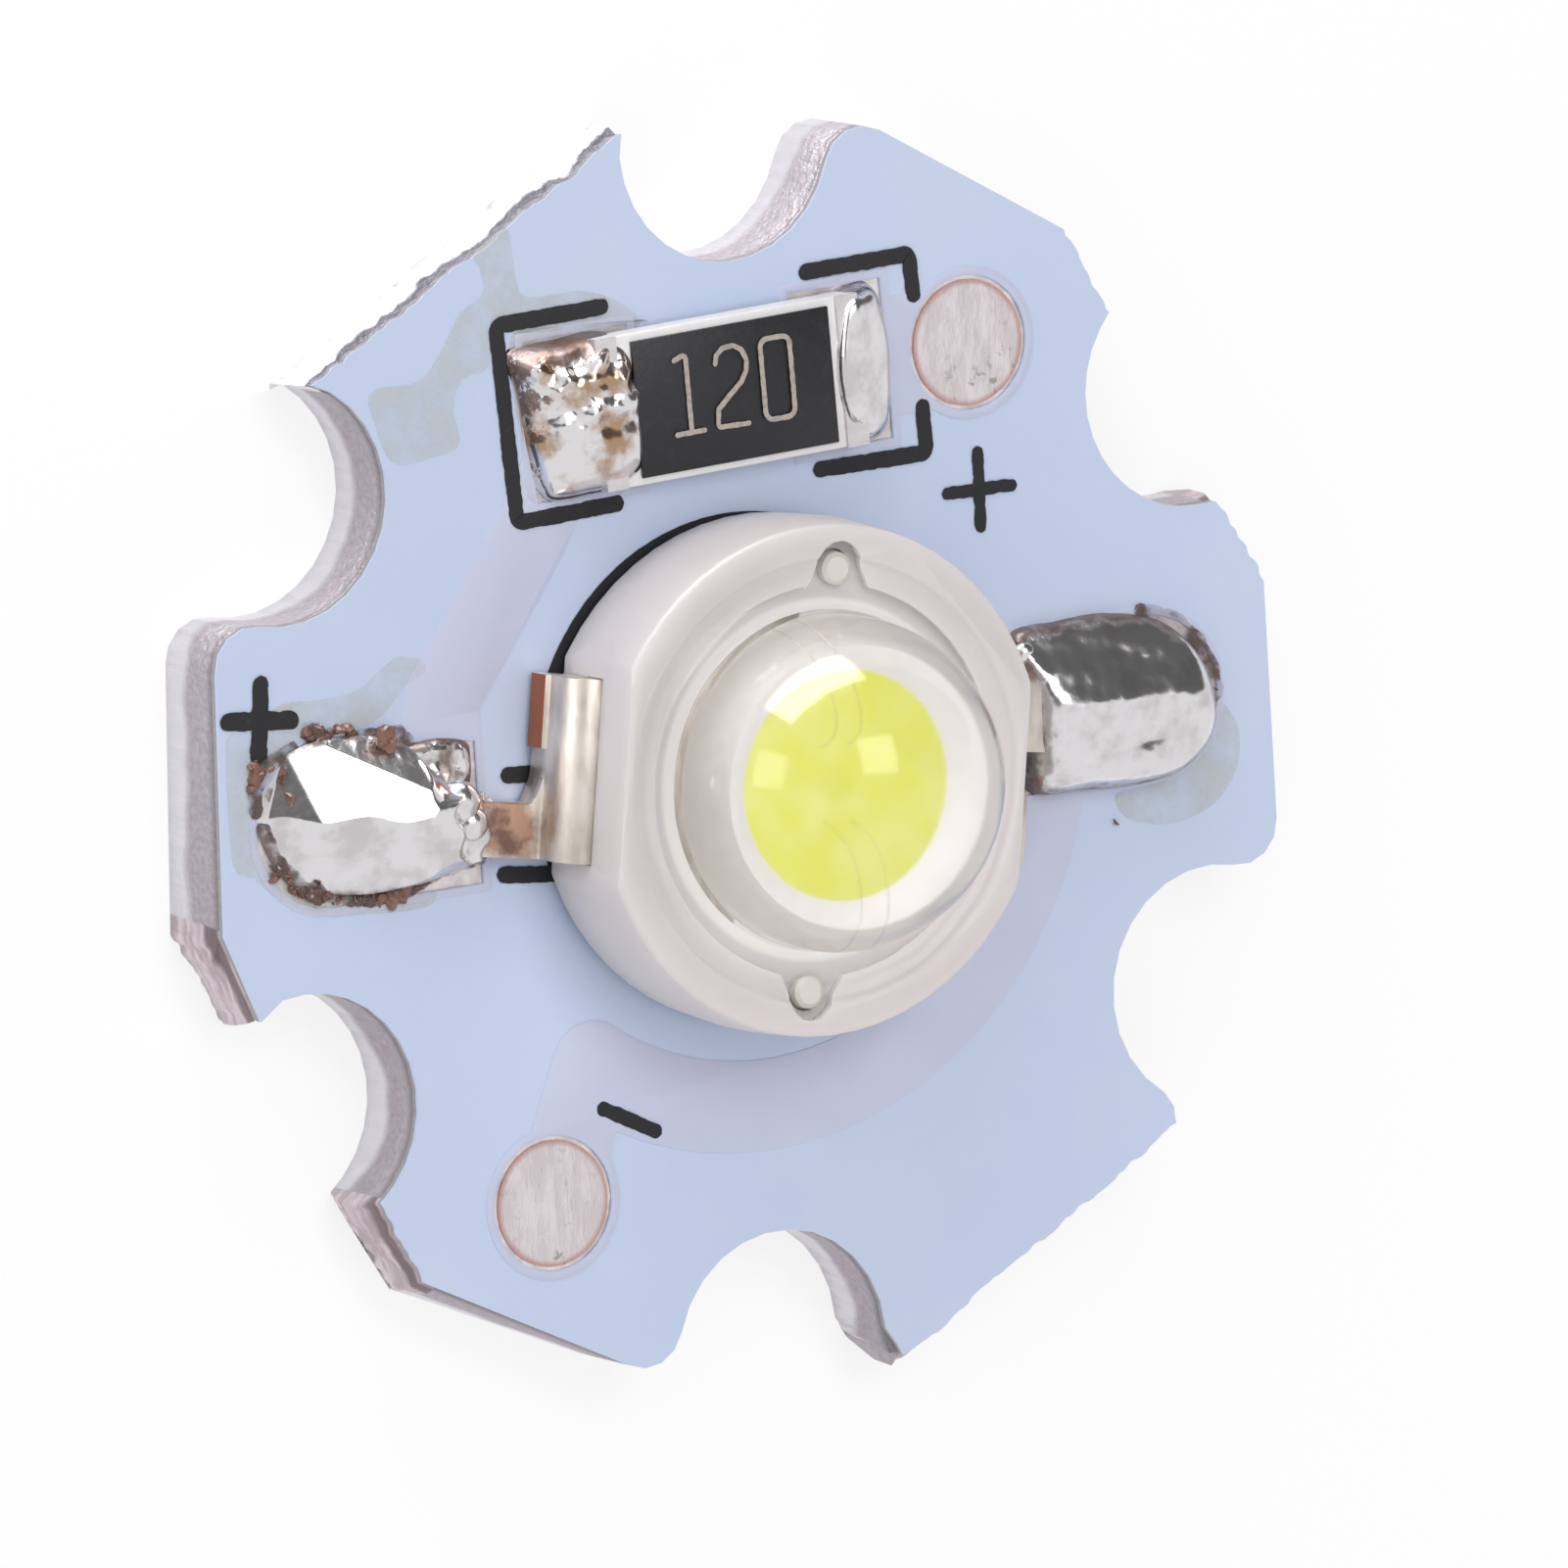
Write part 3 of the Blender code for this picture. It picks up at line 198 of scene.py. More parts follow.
class Finish(Net):
    """A procedural material on one Principled shader, with patterns measured in millimetres."""

    def __init__(self, name, **uniform):
        self.material = bpy.data.materials.new(name)
        self.material.use_nodes = True
        super().__init__(self.material.node_tree)
        self.shader = self.tree.nodes["Principled BSDF"]
        self.set(**uniform)
        self.place = self.scaled(self.node("ShaderNodeTexCoord", output="Object"), 1.0 / MM)

    def set(self, **sockets):
        """Set sockets of the Principled shader; an underscore in a name stands for a space."""
        for name, value in sockets.items():
            socket = self.shader.inputs[name.replace("_", " ")]
            if isinstance(value, Reading):
                self.tree.links.new(value.socket, socket)
            else:
                socket.default_value = value

    def rays(self, *kinds):
        """1 for light that comes by one of these kinds of ray, 0 for the rest."""
        total = 0.0
        for kind in kinds:
            total = total + self.node("ShaderNodeLightPath", output="Is " + kind + " Ray")
        return total.maths("MINIMUM", 1.0)

    def overlay(self, share, kind):
        """Mix a shader of another kind over the Principled one."""
        mixed = self.node("ShaderNodeMixShader", {}, {
            0: share, 1: Reading(self, self.shader.outputs[0]), 2: self.node(kind)})
        self.tree.links.new(mixed.socket, self.tree.nodes["Material Output"].inputs["Surface"])

    def along(self, direction):
        """How many millimetres the surface lies along a direction."""
        return self.vectors("DOT_PRODUCT", self.place, direction, "Value")

    def distance_from(self, point):
        return self.vectors("DISTANCE", self.place, point, "Value")

    def attribute(self, name):
        return self.node("ShaderNodeAttribute", {"attribute_name": name}, output="Fac")

    def cloud(self, scale, detail=3.0, stretch=(1.0, 1.0, 1.0), roughness=0.55):
        """Noise from 0 to 1 with so many patches to the millimetre."""
        return self.noise(self.vectors("MULTIPLY", self.place, stretch), scale, detail, roughness)

    def mix(self, share, first, second):
        """A colour between two, each a picture colour or a Reading."""
        pair = [value if isinstance(value, Reading) else colour_of(value)
                for value in (first, second)]
        return self.node("ShaderNodeMix", {"data_type": "RGBA"},
                         {0: share, 6: pair[0], 7: pair[1]}, output=2)

    def patches(self, scale, tones, rough, spread, detail=3.0, limits=None, finer=0.0):
        """Patches of two tones, so many to the millimetre, and of roughness that goes up by a
        spread. Limits make the tones' borders crisper, and finer is the roughness's own scale."""
        cloud = self.cloud(scale, detail)
        grain = self.cloud(finer) if finer else cloud
        self.set(Base_Color=self.mix(self.ease(cloud, *limits) if limits else cloud, *tones),
                 Roughness=rough + grain * spread)
        return cloud

    def bump(self, height, depth):
        """Relief as deep as so many millimetres where the height goes from 0 to 1."""
        self.set(Normal=self.node("ShaderNodeBump", {}, {"Height": height,
                                                         "Distance": depth * MM}))


def cad_copy(node):
    """A CAD node's mesh in millimetres, with its loose triangles merged and its faces joined."""
    mesh = bmesh.new()
    mesh.from_mesh(bpy.data.objects[node].data)
    bmesh.ops.scale(mesh, vec=(1 / MM,) * 3, verts=mesh.verts)
    bmesh.ops.remove_doubles(mesh, verts=mesh.verts, dist=0.0005)
    bmesh.ops.dissolve_limit(mesh, angle_limit=math.radians(0.5), verts=mesh.verts,
                             edges=mesh.edges)
    return mesh


def round_edges(mesh, width, angle=40.0):
    """Bevel the edges of a mesh that are sharper than an angle."""
    sharp = [edge for edge in mesh.edges if len(edge.link_faces) == 2
             and edge.calc_face_angle() > math.radians(angle)]
    bmesh.ops.bevel(mesh, geom=sharp, offset=width, segments=2, profile=0.5,
                    affect="EDGES", clamp_overlap=True)


def link_mesh(mesh, name):
    """Use up a mesh for an object in the scene."""
    data = bpy.data.meshes.new(name)
    mesh.to_mesh(data)
    mesh.free()
    made = bpy.data.objects.new(name, data)
    bpy.context.scene.collection.objects.link(made)
    return made


def add_piece(name, mesh, finish, stands_for=(), sharp_angle=35.0):
    """Place a mesh drawn in millimetres as a piece of the object."""
    bmesh.ops.scale(mesh, vec=(MM,) * 3, verts=mesh.verts)
    piece = link_mesh(mesh, name)
    piece.data.materials.append(finish.material)
    piece.data.shade_smooth()
    piece.data.set_sharp_from_angle(angle=math.radians(sharp_angle))
    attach(piece, "root")
    if stands_for:
        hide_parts(*stands_for)


def finish_node(node, finish):
    """Give a CAD node that keeps its own shape a finish."""
    for slot in bpy.data.objects[node].material_slots:
        slot.material = finish.material


def facing(angle):
    """The level direction at an angle in degrees."""
    return Vector((math.cos(math.radians(angle)), math.sin(math.radians(angle)), 0.0))


def break_corners(mesh):
    """Move the corners to where they broke off."""
    for vert in mesh.verts:
        for corner, (low, high) in BROKEN_CORNERS.items():
            if (vert.co.xy - Vector(corner)).length < CORNER_REACH:
                vert.co.xy = low if vert.co.z < HALF_THICKNESS else high
                break


def tear(mesh):
    """Make the snapped sides lean and run ragged."""
    for angle, distance in SNAPPED_SIDES.items():
        normal = facing(angle)

        def on_side(vert):
            return vert.co.dot(normal) > distance - SIDE_REACH

        # One half of a side at a time, or the halves would be joined across the notch.
        for half in (-1, 0, 1):
            edges = []
            for edge in mesh.edges:
                middle = (edge.verts[0].co + edge.verts[1].co) / 2
                run = middle.dot(facing(angle + 90))
                place = (run > SIDE_NOTCH) - (run < -SIDE_NOTCH)
                if (edge.calc_length() > SIDE_EDGE and place == half
                        and all(map(on_side, edge.verts))):
                    edges.append(edge)
            bmesh.ops.subdivide_edges(mesh, edges=edges, cuts=SIDE_CUTS)
        for vert in mesh.verts:
            if on_side(vert):
                run = vert.co.dot(facing(angle + 90))
                ragged = 0.5 + noise.noise(Vector((run * 1.1, angle, 0.0)))
                ragged += 0.6 * noise.noise(Vector((run * 5.0, angle, vert.co.z)))
                lean = SNAP_LEAN[angle] * (1.0 - vert.co.z / BOARD_TOP)
                vert.co -= normal * (SNAP_RAGGEDNESS * max(0.0, ragged) + lean)


punched = Finish("punched_aluminium", Metallic=0.8)
drag_marks = punched.cloud(6.0, 4.0, (1.0, 1.0, 0.15))
grain = punched.cloud(9.0, 4.0)
height = punched.along((0.0, 0.0, 1.0))
wander = punched.cloud(0.45, 2.0, (1.0, 1.0, 0.0))
torn = punched.ease(height - (TEAR_LEVEL + 0.9 * (wander - 0.5)), -0.14, 0.14)
burnished_colour = punched.mix(drag_marks, BURNISHED_SHADE, BURNISHED)
torn_colour = punched.mix(punched.ease(grain, 0.2, 0.8), TORN_SHADE, TORN)
torn_colour = punched.mix(punched.ease(height, 1.28, 1.5), torn_colour, SNAP_LINE)
scored_colour = punched.mix(punched.ease(punched.cloud(3.0, 4.0, (0.35, 0.35, 1.6)), 0.4, 0.6),
                            SCORED_SHADE, SCORED)
# A dark band from about 1.02 to 1.2 mm up the scored sides: torn metal, and partly painted shade
# under the score.
torn_and_shaded_wedge = punched.ease(height + 0.9 * (wander - 0.5), 1.02, 1.2) * punched.ease(height, 1.5, 1.4)
scored_colour = punched.mix(torn_and_shaded_wedge * 0.8, scored_colour, SCORED_TORN_AND_SHADE)
wall_colour = punched.mix(torn, burnished_colour, torn_colour)
# Painted shadow: a ragged dark line from 1.2 to 1.34 mm up the 120-degree side.
painted_shadow_line = punched.ease(height + 0.7 * (punched.cloud(0.8, 2.0) - 0.5), 1.2, 1.34)
# Painted glare on the 120-degree side: a near-white colour in place of the lamps' reflection,
# broken by the drag marks.
painted_glare_colour = punched.mix(punched.ease(drag_marks, 0.4, 0.7), SNAPPED_PAINTED_GLARE, SNAPPED_SHADE)
painted_glare_colour = punched.mix(painted_shadow_line, painted_glare_colour, SNAP_PAINTED_SHADOW)
for angle, colour in ((30, scored_colour), (210, scored_colour), (300, torn_colour),
                      (120, painted_glare_colour)):
    edge = SNAPPED_SIDES[angle] - SIDE_BAND - SNAP_LEAN[angle]
    wall_colour = punched.mix(punched.ease(punched.along(facing(angle)), edge, edge + 0.02),
                              wall_colour, colour)
punched.set(Base_Color=wall_colour, Roughness=0.3 + 0.12 * grain + 0.16 * torn)
punched.bump(drag_marks * 0.35 + grain * torn * 0.65, 0.07)

star = cad_copy("base_plate")
break_corners(star)
round_edges(star, PUNCH_BURR)
tear(star)
add_piece("punched_star", star, punched, ["base_plate"])

# Dielectric and copper. Filled resin bonds the copper foil to the aluminium. The foil shows
# only where the mask leaves it open, and there it is tinned.
DIELECTRIC = (172, 168, 170)
DIELECTRIC_SHADE = (138, 134, 138)
TINNED_TONES = ((204, 193, 195), (234, 228, 228))

resin = Finish("filled_resin", Roughness=0.6)
resin.set(Base_Color=resin.mix(resin.cloud(9.0), DIELECTRIC_SHADE, DIELECTRIC))
resin_layer = cad_copy("dielectric_layer")
break_corners(resin_layer)
tear(resin_layer)
add_piece("resin_layer", resin_layer, resin, ["dielectric_layer"])

foil = Finish("tinned_foil", Metallic=0.8)
foil.bump(foil.patches(2.5, TINNED_TONES, 0.3, 0.3, 4.0, (0.35, 0.65)), 0.02)
for node in ("positive_trace", "anode_trace", "cathode_trace", "thermal_land"):
    finish_node(node, foil)

# Round wire pads. Tin levelled over the foil in each opening, dull and speckled, with a thin
# reddish line where it meets the mask.
ROUND_PADS = {"positive_pad_tin": (4.44, 6.18), "negative_pad_tin": (-4.23, -7.0)}
PAD_TIN = (218, 210, 214)
PAD_TIN_SHADE = (202, 193, 195)
PAD_SPECK = (138, 134, 130)
COPPER_RIM = (176, 118, 104)
PAD_RADIUS = 1.04
PAD_TOP = 1.66

for node, (pad_x, pad_y) in ROUND_PADS.items():
    tin = Finish(node + "_finish", Metallic=0.25)
    rim = tin.ease(tin.distance_from((pad_x, pad_y, PAD_TOP)), PAD_RADIUS - 0.12,
                   PAD_RADIUS - 0.01)
    brushed = tin.ease(tin.cloud(3.0, 5.0, (1.0, 0.3, 1.0), 0.65), 0.35, 0.65)
    low_side = tin.ease(tin.along((0.3, -1.0, 0.0)) - (0.3 * pad_x - pad_y), 0.1, 1.0)
    specks = tin.ease(tin.cloud(4.5, 4.0, roughness=0.6), 0.6, 0.68) * (0.25 + 0.6 * low_side)
    clean = tin.mix(brushed, PAD_TIN_SHADE, PAD_TIN)
    tin.set(Base_Color=tin.mix(rim * 0.7, tin.mix(specks, clean, PAD_SPECK), COPPER_RIM),
            Roughness=0.45 + brushed * 0.15)
    tin.bump(brushed, 0.02)
    finish_node(node, tin)

# Solder mask. A pale lacquer over the whole board, open at the pads. It rises a little where it
# covers the copper, and looks pinker there.
MASK_OVER_RESIN = (190, 203, 228)
MASK_OVER_COPPER = (191, 195, 218)
MASK_PALE = (204, 212, 232)
MASK_RISE = 0.014
COPPER_TOP = 1.635
COVER_GROWTH = 0.03
COVER_BOTTOM = 1.62
COVER_EDGE = 0.02
OPENING_MARGIN = 0.012
# The left pad's corner is cut back in the mask, with the points this near it.
PAD_CORNER = (-5.28, 1.05)
PAD_CORNER_CUT = (-5.27, 0.74)
PAD_CORNER_REACH = 0.03


def combine(target, tool, operation):
    """Cut the target with a tool or join them, and use the tool up."""
    modifier = target.modifiers.new(operation.title(), "BOOLEAN")
    modifier.operation = operation
    modifier.solver = "EXACT"
    modifier.object = tool
    bpy.context.view_layer.update()
    evaluated = target.evaluated_get(bpy.context.evaluated_depsgraph_get())
    result = bpy.data.meshes.new_from_object(evaluated)
    target.modifiers.clear()
    target.data = result
    bpy.data.objects.remove(tool)
    return target


def take_mesh(obj):
    """The mesh of a working object, which is removed."""
    mesh = bmesh.new()
    mesh.from_mesh(obj.data)
    bpy.data.objects.remove(obj)
    return mesh


def merged(*meshes):
    """Several meshes in one."""
    whole = meshes[0]
    for mesh in meshes[1:]:
        data = bpy.data.meshes.new("part")
        mesh.to_mesh(data)
        mesh.free()
        whole.from_mesh(data)
        bpy.data.meshes.remove(data)
    return whole


def join_rings(mesh, rings):
    """Faces from each ring of vertices to the next; a ring may be a single vertex."""
    count = max(map(len, rings))
    for lower, upper in zip(rings, rings[1:]):
        for index in range(count):
            after = (index + 1) % count
            corners = []
            for vert in (lower[index % len(lower)], lower[after % len(lower)],
                         upper[after % len(upper)], upper[index % len(upper)]):
                if vert not in corners:
                    corners.append(vert)
            if len(corners) > 2:
                mesh.faces.new(corners)
    bmesh.ops.recalc_face_normals(mesh, faces=mesh.faces)
    return mesh


def prism(outline, bottom, top):
    """A mesh raised on a closed outline."""
    mesh = bmesh.new()
    floor, roof = ([mesh.verts.new((x, y, level)) for x, y in outline] for level in (bottom, top))
    mesh.faces.new(list(reversed(floor)))
    mesh.faces.new(roof)
    return join_rings(mesh, [floor, roof])


def flat_loops(mesh, level):
    """Closed outlines of a mesh's flat faces at a level, each a list of (x, y)."""
    # A dict keeps its order, so the outlines start at the same points in every run.
    faces = {face: True for face in mesh.faces
             if face.normal.z > 0.9 and abs(face.calc_center_median().z - level) < 0.003}
    rim = {}
    for face in faces:
        for loop in face.loops:
            others = [other for other in loop.edge.link_faces if other is not face]
            if not others or others[0] not in faces:
                rim.setdefault(loop.vert, []).append(loop.link_loop_next.vert)
    outlines = []
    while rim:
        start = next(iter(rim))
        outline = [start]
        following = rim.pop(start)[0]
        while following is not start:
            outline.append(following)
            following = rim.pop(following)[0]
        outlines.append([(vert.co.x, vert.co.y) for vert in outline])
    return outlines


def grown(outline, growth):
    """A closed outline moved outwards; clockwise ones move inwards."""
    points = [Vector(point) for point in outline]
    result = []
    for index, point in enumerate(points):
        before = (point - points[index - 1]).normalized()
        after = (points[(index + 1) % len(points)] - point).normalized()
        side = Vector((before.y + after.y, -before.x - after.x))
        reach = growth * 2.0 / max(side.length_squared, 0.5)
        result.append(tuple(point + side * reach))
    return result


def signed_area(outline):
    return sum(x0 * y1 - x1 * y0
               for (x0, y0), (x1, y1) in zip(outline, outline[1:] + outline[:1])) / 2


mask_sheet = cad_copy("solder_mask")
break_corners(mask_sheet)
for vert in mask_sheet.verts:
    if (vert.co.xy - Vector(PAD_CORNER)).length < PAD_CORNER_REACH:
        vert.co.xy = PAD_CORNER_CUT
openings = [list(reversed(loop)) for loop in flat_loops(mask_sheet, BOARD_TOP)
            if signed_area(loop) < 0]
cover = None
for node in ("positive_trace", "anode_trace", "cathode_trace"):
    trace = cad_copy(node)
    for loop in flat_loops(trace, COPPER_TOP):
        if signed_area(loop) < 0:
            continue
        raised = prism(grown(loop, COVER_GROWTH), COVER_BOTTOM, BOARD_TOP + MASK_RISE)
        slab = link_mesh(raised, "cover")
        cover = combine(cover, slab, "UNION") if cover else slab
    trace.free()
for opening in openings:
    hole = prism(grown(opening, OPENING_MARGIN), COVER_BOTTOM - 1, BOARD_TOP + 1)
    cover = combine(cover, link_mesh(hole, "hole"), "DIFFERENCE")
cover_mesh = take_mesh(cover)
round_edges(cover_mesh, COVER_EDGE, 60.0)
mask_sheet = merged(mask_sheet, cover_mesh)
copper_layer = mask_sheet.faces.layers.float.new("over_copper")
for face in mask_sheet.faces:
    face[copper_layer] = 1.0 if face.calc_center_median().z > BOARD_TOP + 0.003 else 0.0

lacquer = Finish("solder_mask_lacquer", Coat_Roughness=0.08)
mask_cloud = lacquer.cloud(0.35, 2.0)
mask_grain = lacquer.cloud(24.0, 2.0)
lacquer_tint = lacquer.mix(lacquer.attribute("over_copper"), MASK_OVER_RESIN, MASK_OVER_COPPER)
lacquer.set(Base_Color=lacquer.mix(lacquer.ease(mask_cloud, 0.4, 0.7) * 0.25, lacquer_tint,
                                   MASK_PALE),
            Roughness=0.36 + mask_grain * 0.1)
lacquer.bump(mask_grain, 0.004)
tear(mask_sheet)
add_piece("mask_lacquer", mask_sheet, lacquer, ["solder_mask"])

# Printed marks. Black epoxy ink, screened on as strokes with round ends and slightly rough
# edges: the outline of the LED with its lead slots, the resistor's brackets, and the polarity.
INK = (14, 14, 20)
INK_WORN = (58, 58, 66)
INK_LEVEL = 1.675
INK_THICKNESS = 0.016
INK_WIDTH = 0.27
RING_CENTRE = (-0.26, -0.09)
RING_RADIUS = 3.86
RING_TABS = [[(-4.05, 0.06), (-4.82, 0.12)], [(-3.8, -1.62), (-4.98, -1.5)],
             [(3.7, -0.62), (4.5, -0.66)], [(3.5, 1.06), (4.5, 0.98)]]
LEFT_BRACKET = [(-2.35, 7.53), (-4.49, 7.44), (-4.27, 4.19), (-2.25, 4.3)]
RIGHT_BRACKET_UPPER = [(1.27, 7.67), (3.38, 7.76), (3.45, 6.95)]
RIGHT_BRACKET_LOWER = [(3.5, 5.35), (3.55, 4.46), (1.37, 4.41)]
MINUS = [(-3.31, -5.51), (-2.12, -6.12)]


def round_path(radius, centre, steps=96, start=0.0, sweep=math.tau):
    return [(centre[0] + radius * math.cos(start + sweep * step / steps),
             centre[1] + radius * math.sin(start + sweep * step / steps))
            for step in range(steps)]


def cross(centre, arm, turn):
    """Two strokes of a plus sign."""
    along = Vector((math.cos(turn), math.sin(turn))) * arm
    across = Vector((-along.y, along.x))
    middle = Vector(centre)
    return [[tuple(middle - along), tuple(middle + along)],
            [tuple(middle - across), tuple(middle + across)]]


def path_tree(name, inputs, shape):
    """Geometry nodes that turn paths into pieces of one material. The shape function gets the net
    and what each input reads, and gives back the geometry."""
    tree = bpy.data.node_groups.new(name, "GeometryNodeTree")
    for label, kind in (("Path", "Geometry"), *inputs, ("Material", "Material")):
        tree.interface.new_socket(label, in_out="INPUT", socket_type="NodeSocket" + kind)
    tree.interface.new_socket("Pieces", in_out="OUTPUT", socket_type="NodeSocketGeometry")
    net = Net(tree)
    given = [Reading(net, socket) for socket in tree.nodes.new("NodeGroupInput").outputs[:-1]]
    made = net.node("GeometryNodeSetMaterial", {}, {"Geometry": shape(net, *given[:-1]),
                                                    "Material": given[-1]})
    tree.links.new(made.socket, tree.nodes.new("NodeGroupOutput").inputs[0])
    return tree


def stroke_shape(net, path, width, thickness, corner, roughness, seed):
    """A flat stroke with round ends and rough edges."""
    curve = net.node("GeometryNodeMeshToCurve", {}, {"Mesh": path})
    curve = net.node("GeometryNodeFilletCurve", {"mode": "POLY"},
                     {"Curve": curve, "Count": 4, "Radius": corner, "Limit Radius": True})
    curve = net.node("GeometryNodeResampleCurve", {"mode": "LENGTH"},
                     {"Curve": curve, "Length": width * 0.14})
    along = net.node("GeometryNodeSplineParameter", output="Length")
    whole = net.node("GeometryNodeSplineLength", output="Length")
    to_end = along.maths("MINIMUM", whole - along) / (width * 0.5)
    short = 1.0 - to_end.maths("MINIMUM", 1.0)
    taper = (1.0 - short * short).maths("SQRT").maths("MAXIMUM", 0.12)
    closed = net.node("GeometryNodeInputSplineCyclic")
    taper = net.node("GeometryNodeSwitch", {"input_type": "FLOAT"},
                     {"Switch": closed, "False": taper, "True": 1.0})
    shifted = net.vectors("ADD", net.node("GeometryNodeInputPosition"), seed)
    swell = taper * (1.0 + (net.noise(shifted, 7.0, 3.0) - 0.5) * roughness)
    drift = net.vectors("SUBTRACT", net.noise(shifted, 5.0, 2.0, output="Color"), (0.5, 0.5, 0.5))
    level_drift = net.vectors("MULTIPLY", drift, (1.0, 1.0, 0.0))
    curve = net.moved(curve, net.scaled(level_drift, width * roughness * 0.35))
    curve = net.node("GeometryNodeSetCurveNormal", {"mode": "Z_UP"}, {"Curve": curve})
    profile = net.node("GeometryNodeCurvePrimitiveQuadrilateral", {},
                       {"Width": width, "Height": thickness})
    stroke = net.node("GeometryNodeCurveToMesh", {},
                      {"Curve": curve, "Profile Curve": profile, "Scale": swell,
                       "Fill Caps": True})
    return net.node("GeometryNodeRealizeInstances", {}, {"Geometry": stroke})


printed_stroke = path_tree("printed_stroke", [(label, "Float") for label in (
    "Width", "Thickness", "Corner", "Roughness", "Seed")], stroke_shape)


def run_tree(mesh, tree, inputs):
    """A mesh passed through Geometry Nodes, given back as a plain mesh."""
    holder = link_mesh(mesh, "holder")
    modifier = holder.modifiers.new("nodes", "NODES")
    modifier.node_group = tree
    for item in tree.interface.items_tree:
        if item.in_out == "INPUT" and item.name in inputs:
            modifier[item.identifier] = inputs[item.name]
    holder.update_tag()
    bpy.context.view_layer.update()
    evaluated = holder.evaluated_get(bpy.context.evaluated_depsgraph_get())
    result = bpy.data.meshes.new_from_object(evaluated)
    holder.modifiers.clear()
    holder.data = result
    made = take_mesh(holder)
    bmesh.ops.recalc_face_normals(made, faces=made.faces)
    return made


def path_lines(paths, level, closed=False):
    """A mesh of lines along paths of (x, y) at a level."""
    lines = bmesh.new()
    for path in paths:
        verts = [lines.verts.new((x, y, level)) for x, y in path]
        for first, second in zip(verts, verts[1:] + (verts[:1] if closed else [])):
            lines.edges.new((first, second))
    return lines


def strokes(paths, level, width, thickness, finish, seed, rough=0.35, corner=0.12, closed=False):
    """Flat strokes along paths of (x, y) at a level."""
    return run_tree(path_lines(paths, level, closed), printed_stroke,
                    {"Width": width, "Thickness": thickness, "Corner": corner,
                     "Roughness": rough, "Seed": seed, "Material": finish.material})


ink = Finish("screened_ink")
ink_cloud = ink.cloud(5.0, 4.0)
worn = ink.ease(ink_cloud, 0.6, 0.78)
ink.set(Base_Color=ink.mix(worn * 0.5, INK, INK_WORN), Roughness=0.5 + ink_cloud * 0.25)
ink.bump(ink_cloud, 0.006)

ink_middle = INK_LEVEL + INK_THICKNESS / 2
ring = merged(strokes([round_path(RING_RADIUS, RING_CENTRE)], ink_middle, INK_WIDTH,
                      INK_THICKNESS, ink, 1.0, rough=0.15, corner=0.0, closed=True),
              strokes(RING_TABS, ink_middle, INK_WIDTH, INK_THICKNESS, ink, 2.0))
add_piece("led_outline_print", ring, ink, ["ring_print"])
for name, stands_for, paths, width, seed, rough in (
        ("left_bracket", ["left_bracket_print"], [LEFT_BRACKET], INK_WIDTH, 3.0, 0.35),
        ("right_bracket_upper", ["right_bracket_upper_print"], [RIGHT_BRACKET_UPPER], INK_WIDTH,
         4.0, 0.35),
        ("right_bracket_lower", ["right_bracket_lower_print"], [RIGHT_BRACKET_LOWER], INK_WIDTH,
         5.0, 0.35),
        ("left_plus_sign", [], cross((-9.25, 1.54), 0.74, math.radians(-5)), 0.3, 6.0, 0.5),
        ("right_plus_sign", [], cross((4.52, 3.74), 0.72, 0.0), 0.21, 7.0, 0.6),
        ("minus_sign", [], [MINUS], 0.24, 8.0, 0.4)):
    add_piece(name, strokes(paths, ink_middle, width, INK_THICKNESS, ink, seed, rough), ink,
              stands_for)

# Leads. Two strips stamped from tinned copper, bent down beside the package to their feet. The
# copper shows brown on their cut ends.
LEAD_TIN = (222, 214, 206)
LEAD_TIN_SHADE = (196, 186, 176)
LEAD_COPPER = (170, 104, 74)
LEAD_EDGE = 0.035
LEAD_OUTWARD = {"left_lead": -1.0, "right_lead": 1.0}
# The left foot in CAD starts at FOOT_START and its end lies beyond FOOT_TIP. It is drawn in by
# these lengths here, the narrowing in a curve.
FOOT_START = -4.31
FOOT_TIP = -5.6
FOOT_SHORTER = 0.2
FOOT_NARROWER = 0.27
FOOT_CURVE = 0.24
CUT_END_AREA = (0.5, 0.6)
FOOT_STAIN = (-5.08, -0.68, 2.22)
FOOT_STAIN_DARK = (104, 70, 57)
FOOT_STAIN_TAN = (172, 136, 112)

lead_tin = Finish("tinned_lead", Metallic=0.92)
lead_cloud = lead_tin.cloud(2.6, 3.0, (1.0, 0.35, 1.0))
stain = lead_tin.ease(lead_tin.distance_from(FOOT_STAIN)
                      + 0.9 * (lead_tin.cloud(2.4, 4.0) - 0.5), 0.76, 0.4)
stained = lead_tin.mix(lead_tin.ease(lead_tin.cloud(1.8, 4.0), 0.4, 0.6), FOOT_STAIN_DARK,
                       FOOT_STAIN_TAN)
plating = lead_tin.mix(lead_tin.ease(lead_cloud, 0.35, 0.65), LEAD_TIN_SHADE, LEAD_TIN)
plating = lead_tin.mix(stain * 0.9, plating, stained)
lead_tin.set(Base_Color=lead_tin.mix(lead_tin.attribute("cut"), plating, LEAD_COPPER),
             Roughness=0.3 + lead_cloud * 0.2)
lead_tin.bump(lead_cloud, 0.01)
for node, outward in LEAD_OUTWARD.items():
    lead = cad_copy(node)
    cut_layer = lead.faces.layers.float.new("cut")
    for face in lead.faces:
        if (face.normal.x * outward > 0.98
                and CUT_END_AREA[0] < face.calc_area() < CUT_END_AREA[1]):
            face[cut_layer] = 1.0
    if outward < 0:
        for vert in lead.verts:
            if vert.co.x < FOOT_TIP:
                vert.co.x += FOOT_SHORTER
            if vert.co.x < FOOT_START and -0.5 < vert.co.y < 0.3:
                vert.co.y -= FOOT_NARROWER * min(1.0, (FOOT_START - vert.co.x) / FOOT_CURVE)
    round_edges(lead, LEAD_EDGE)
    add_piece(node + "_strip", lead, lead_tin, [node])

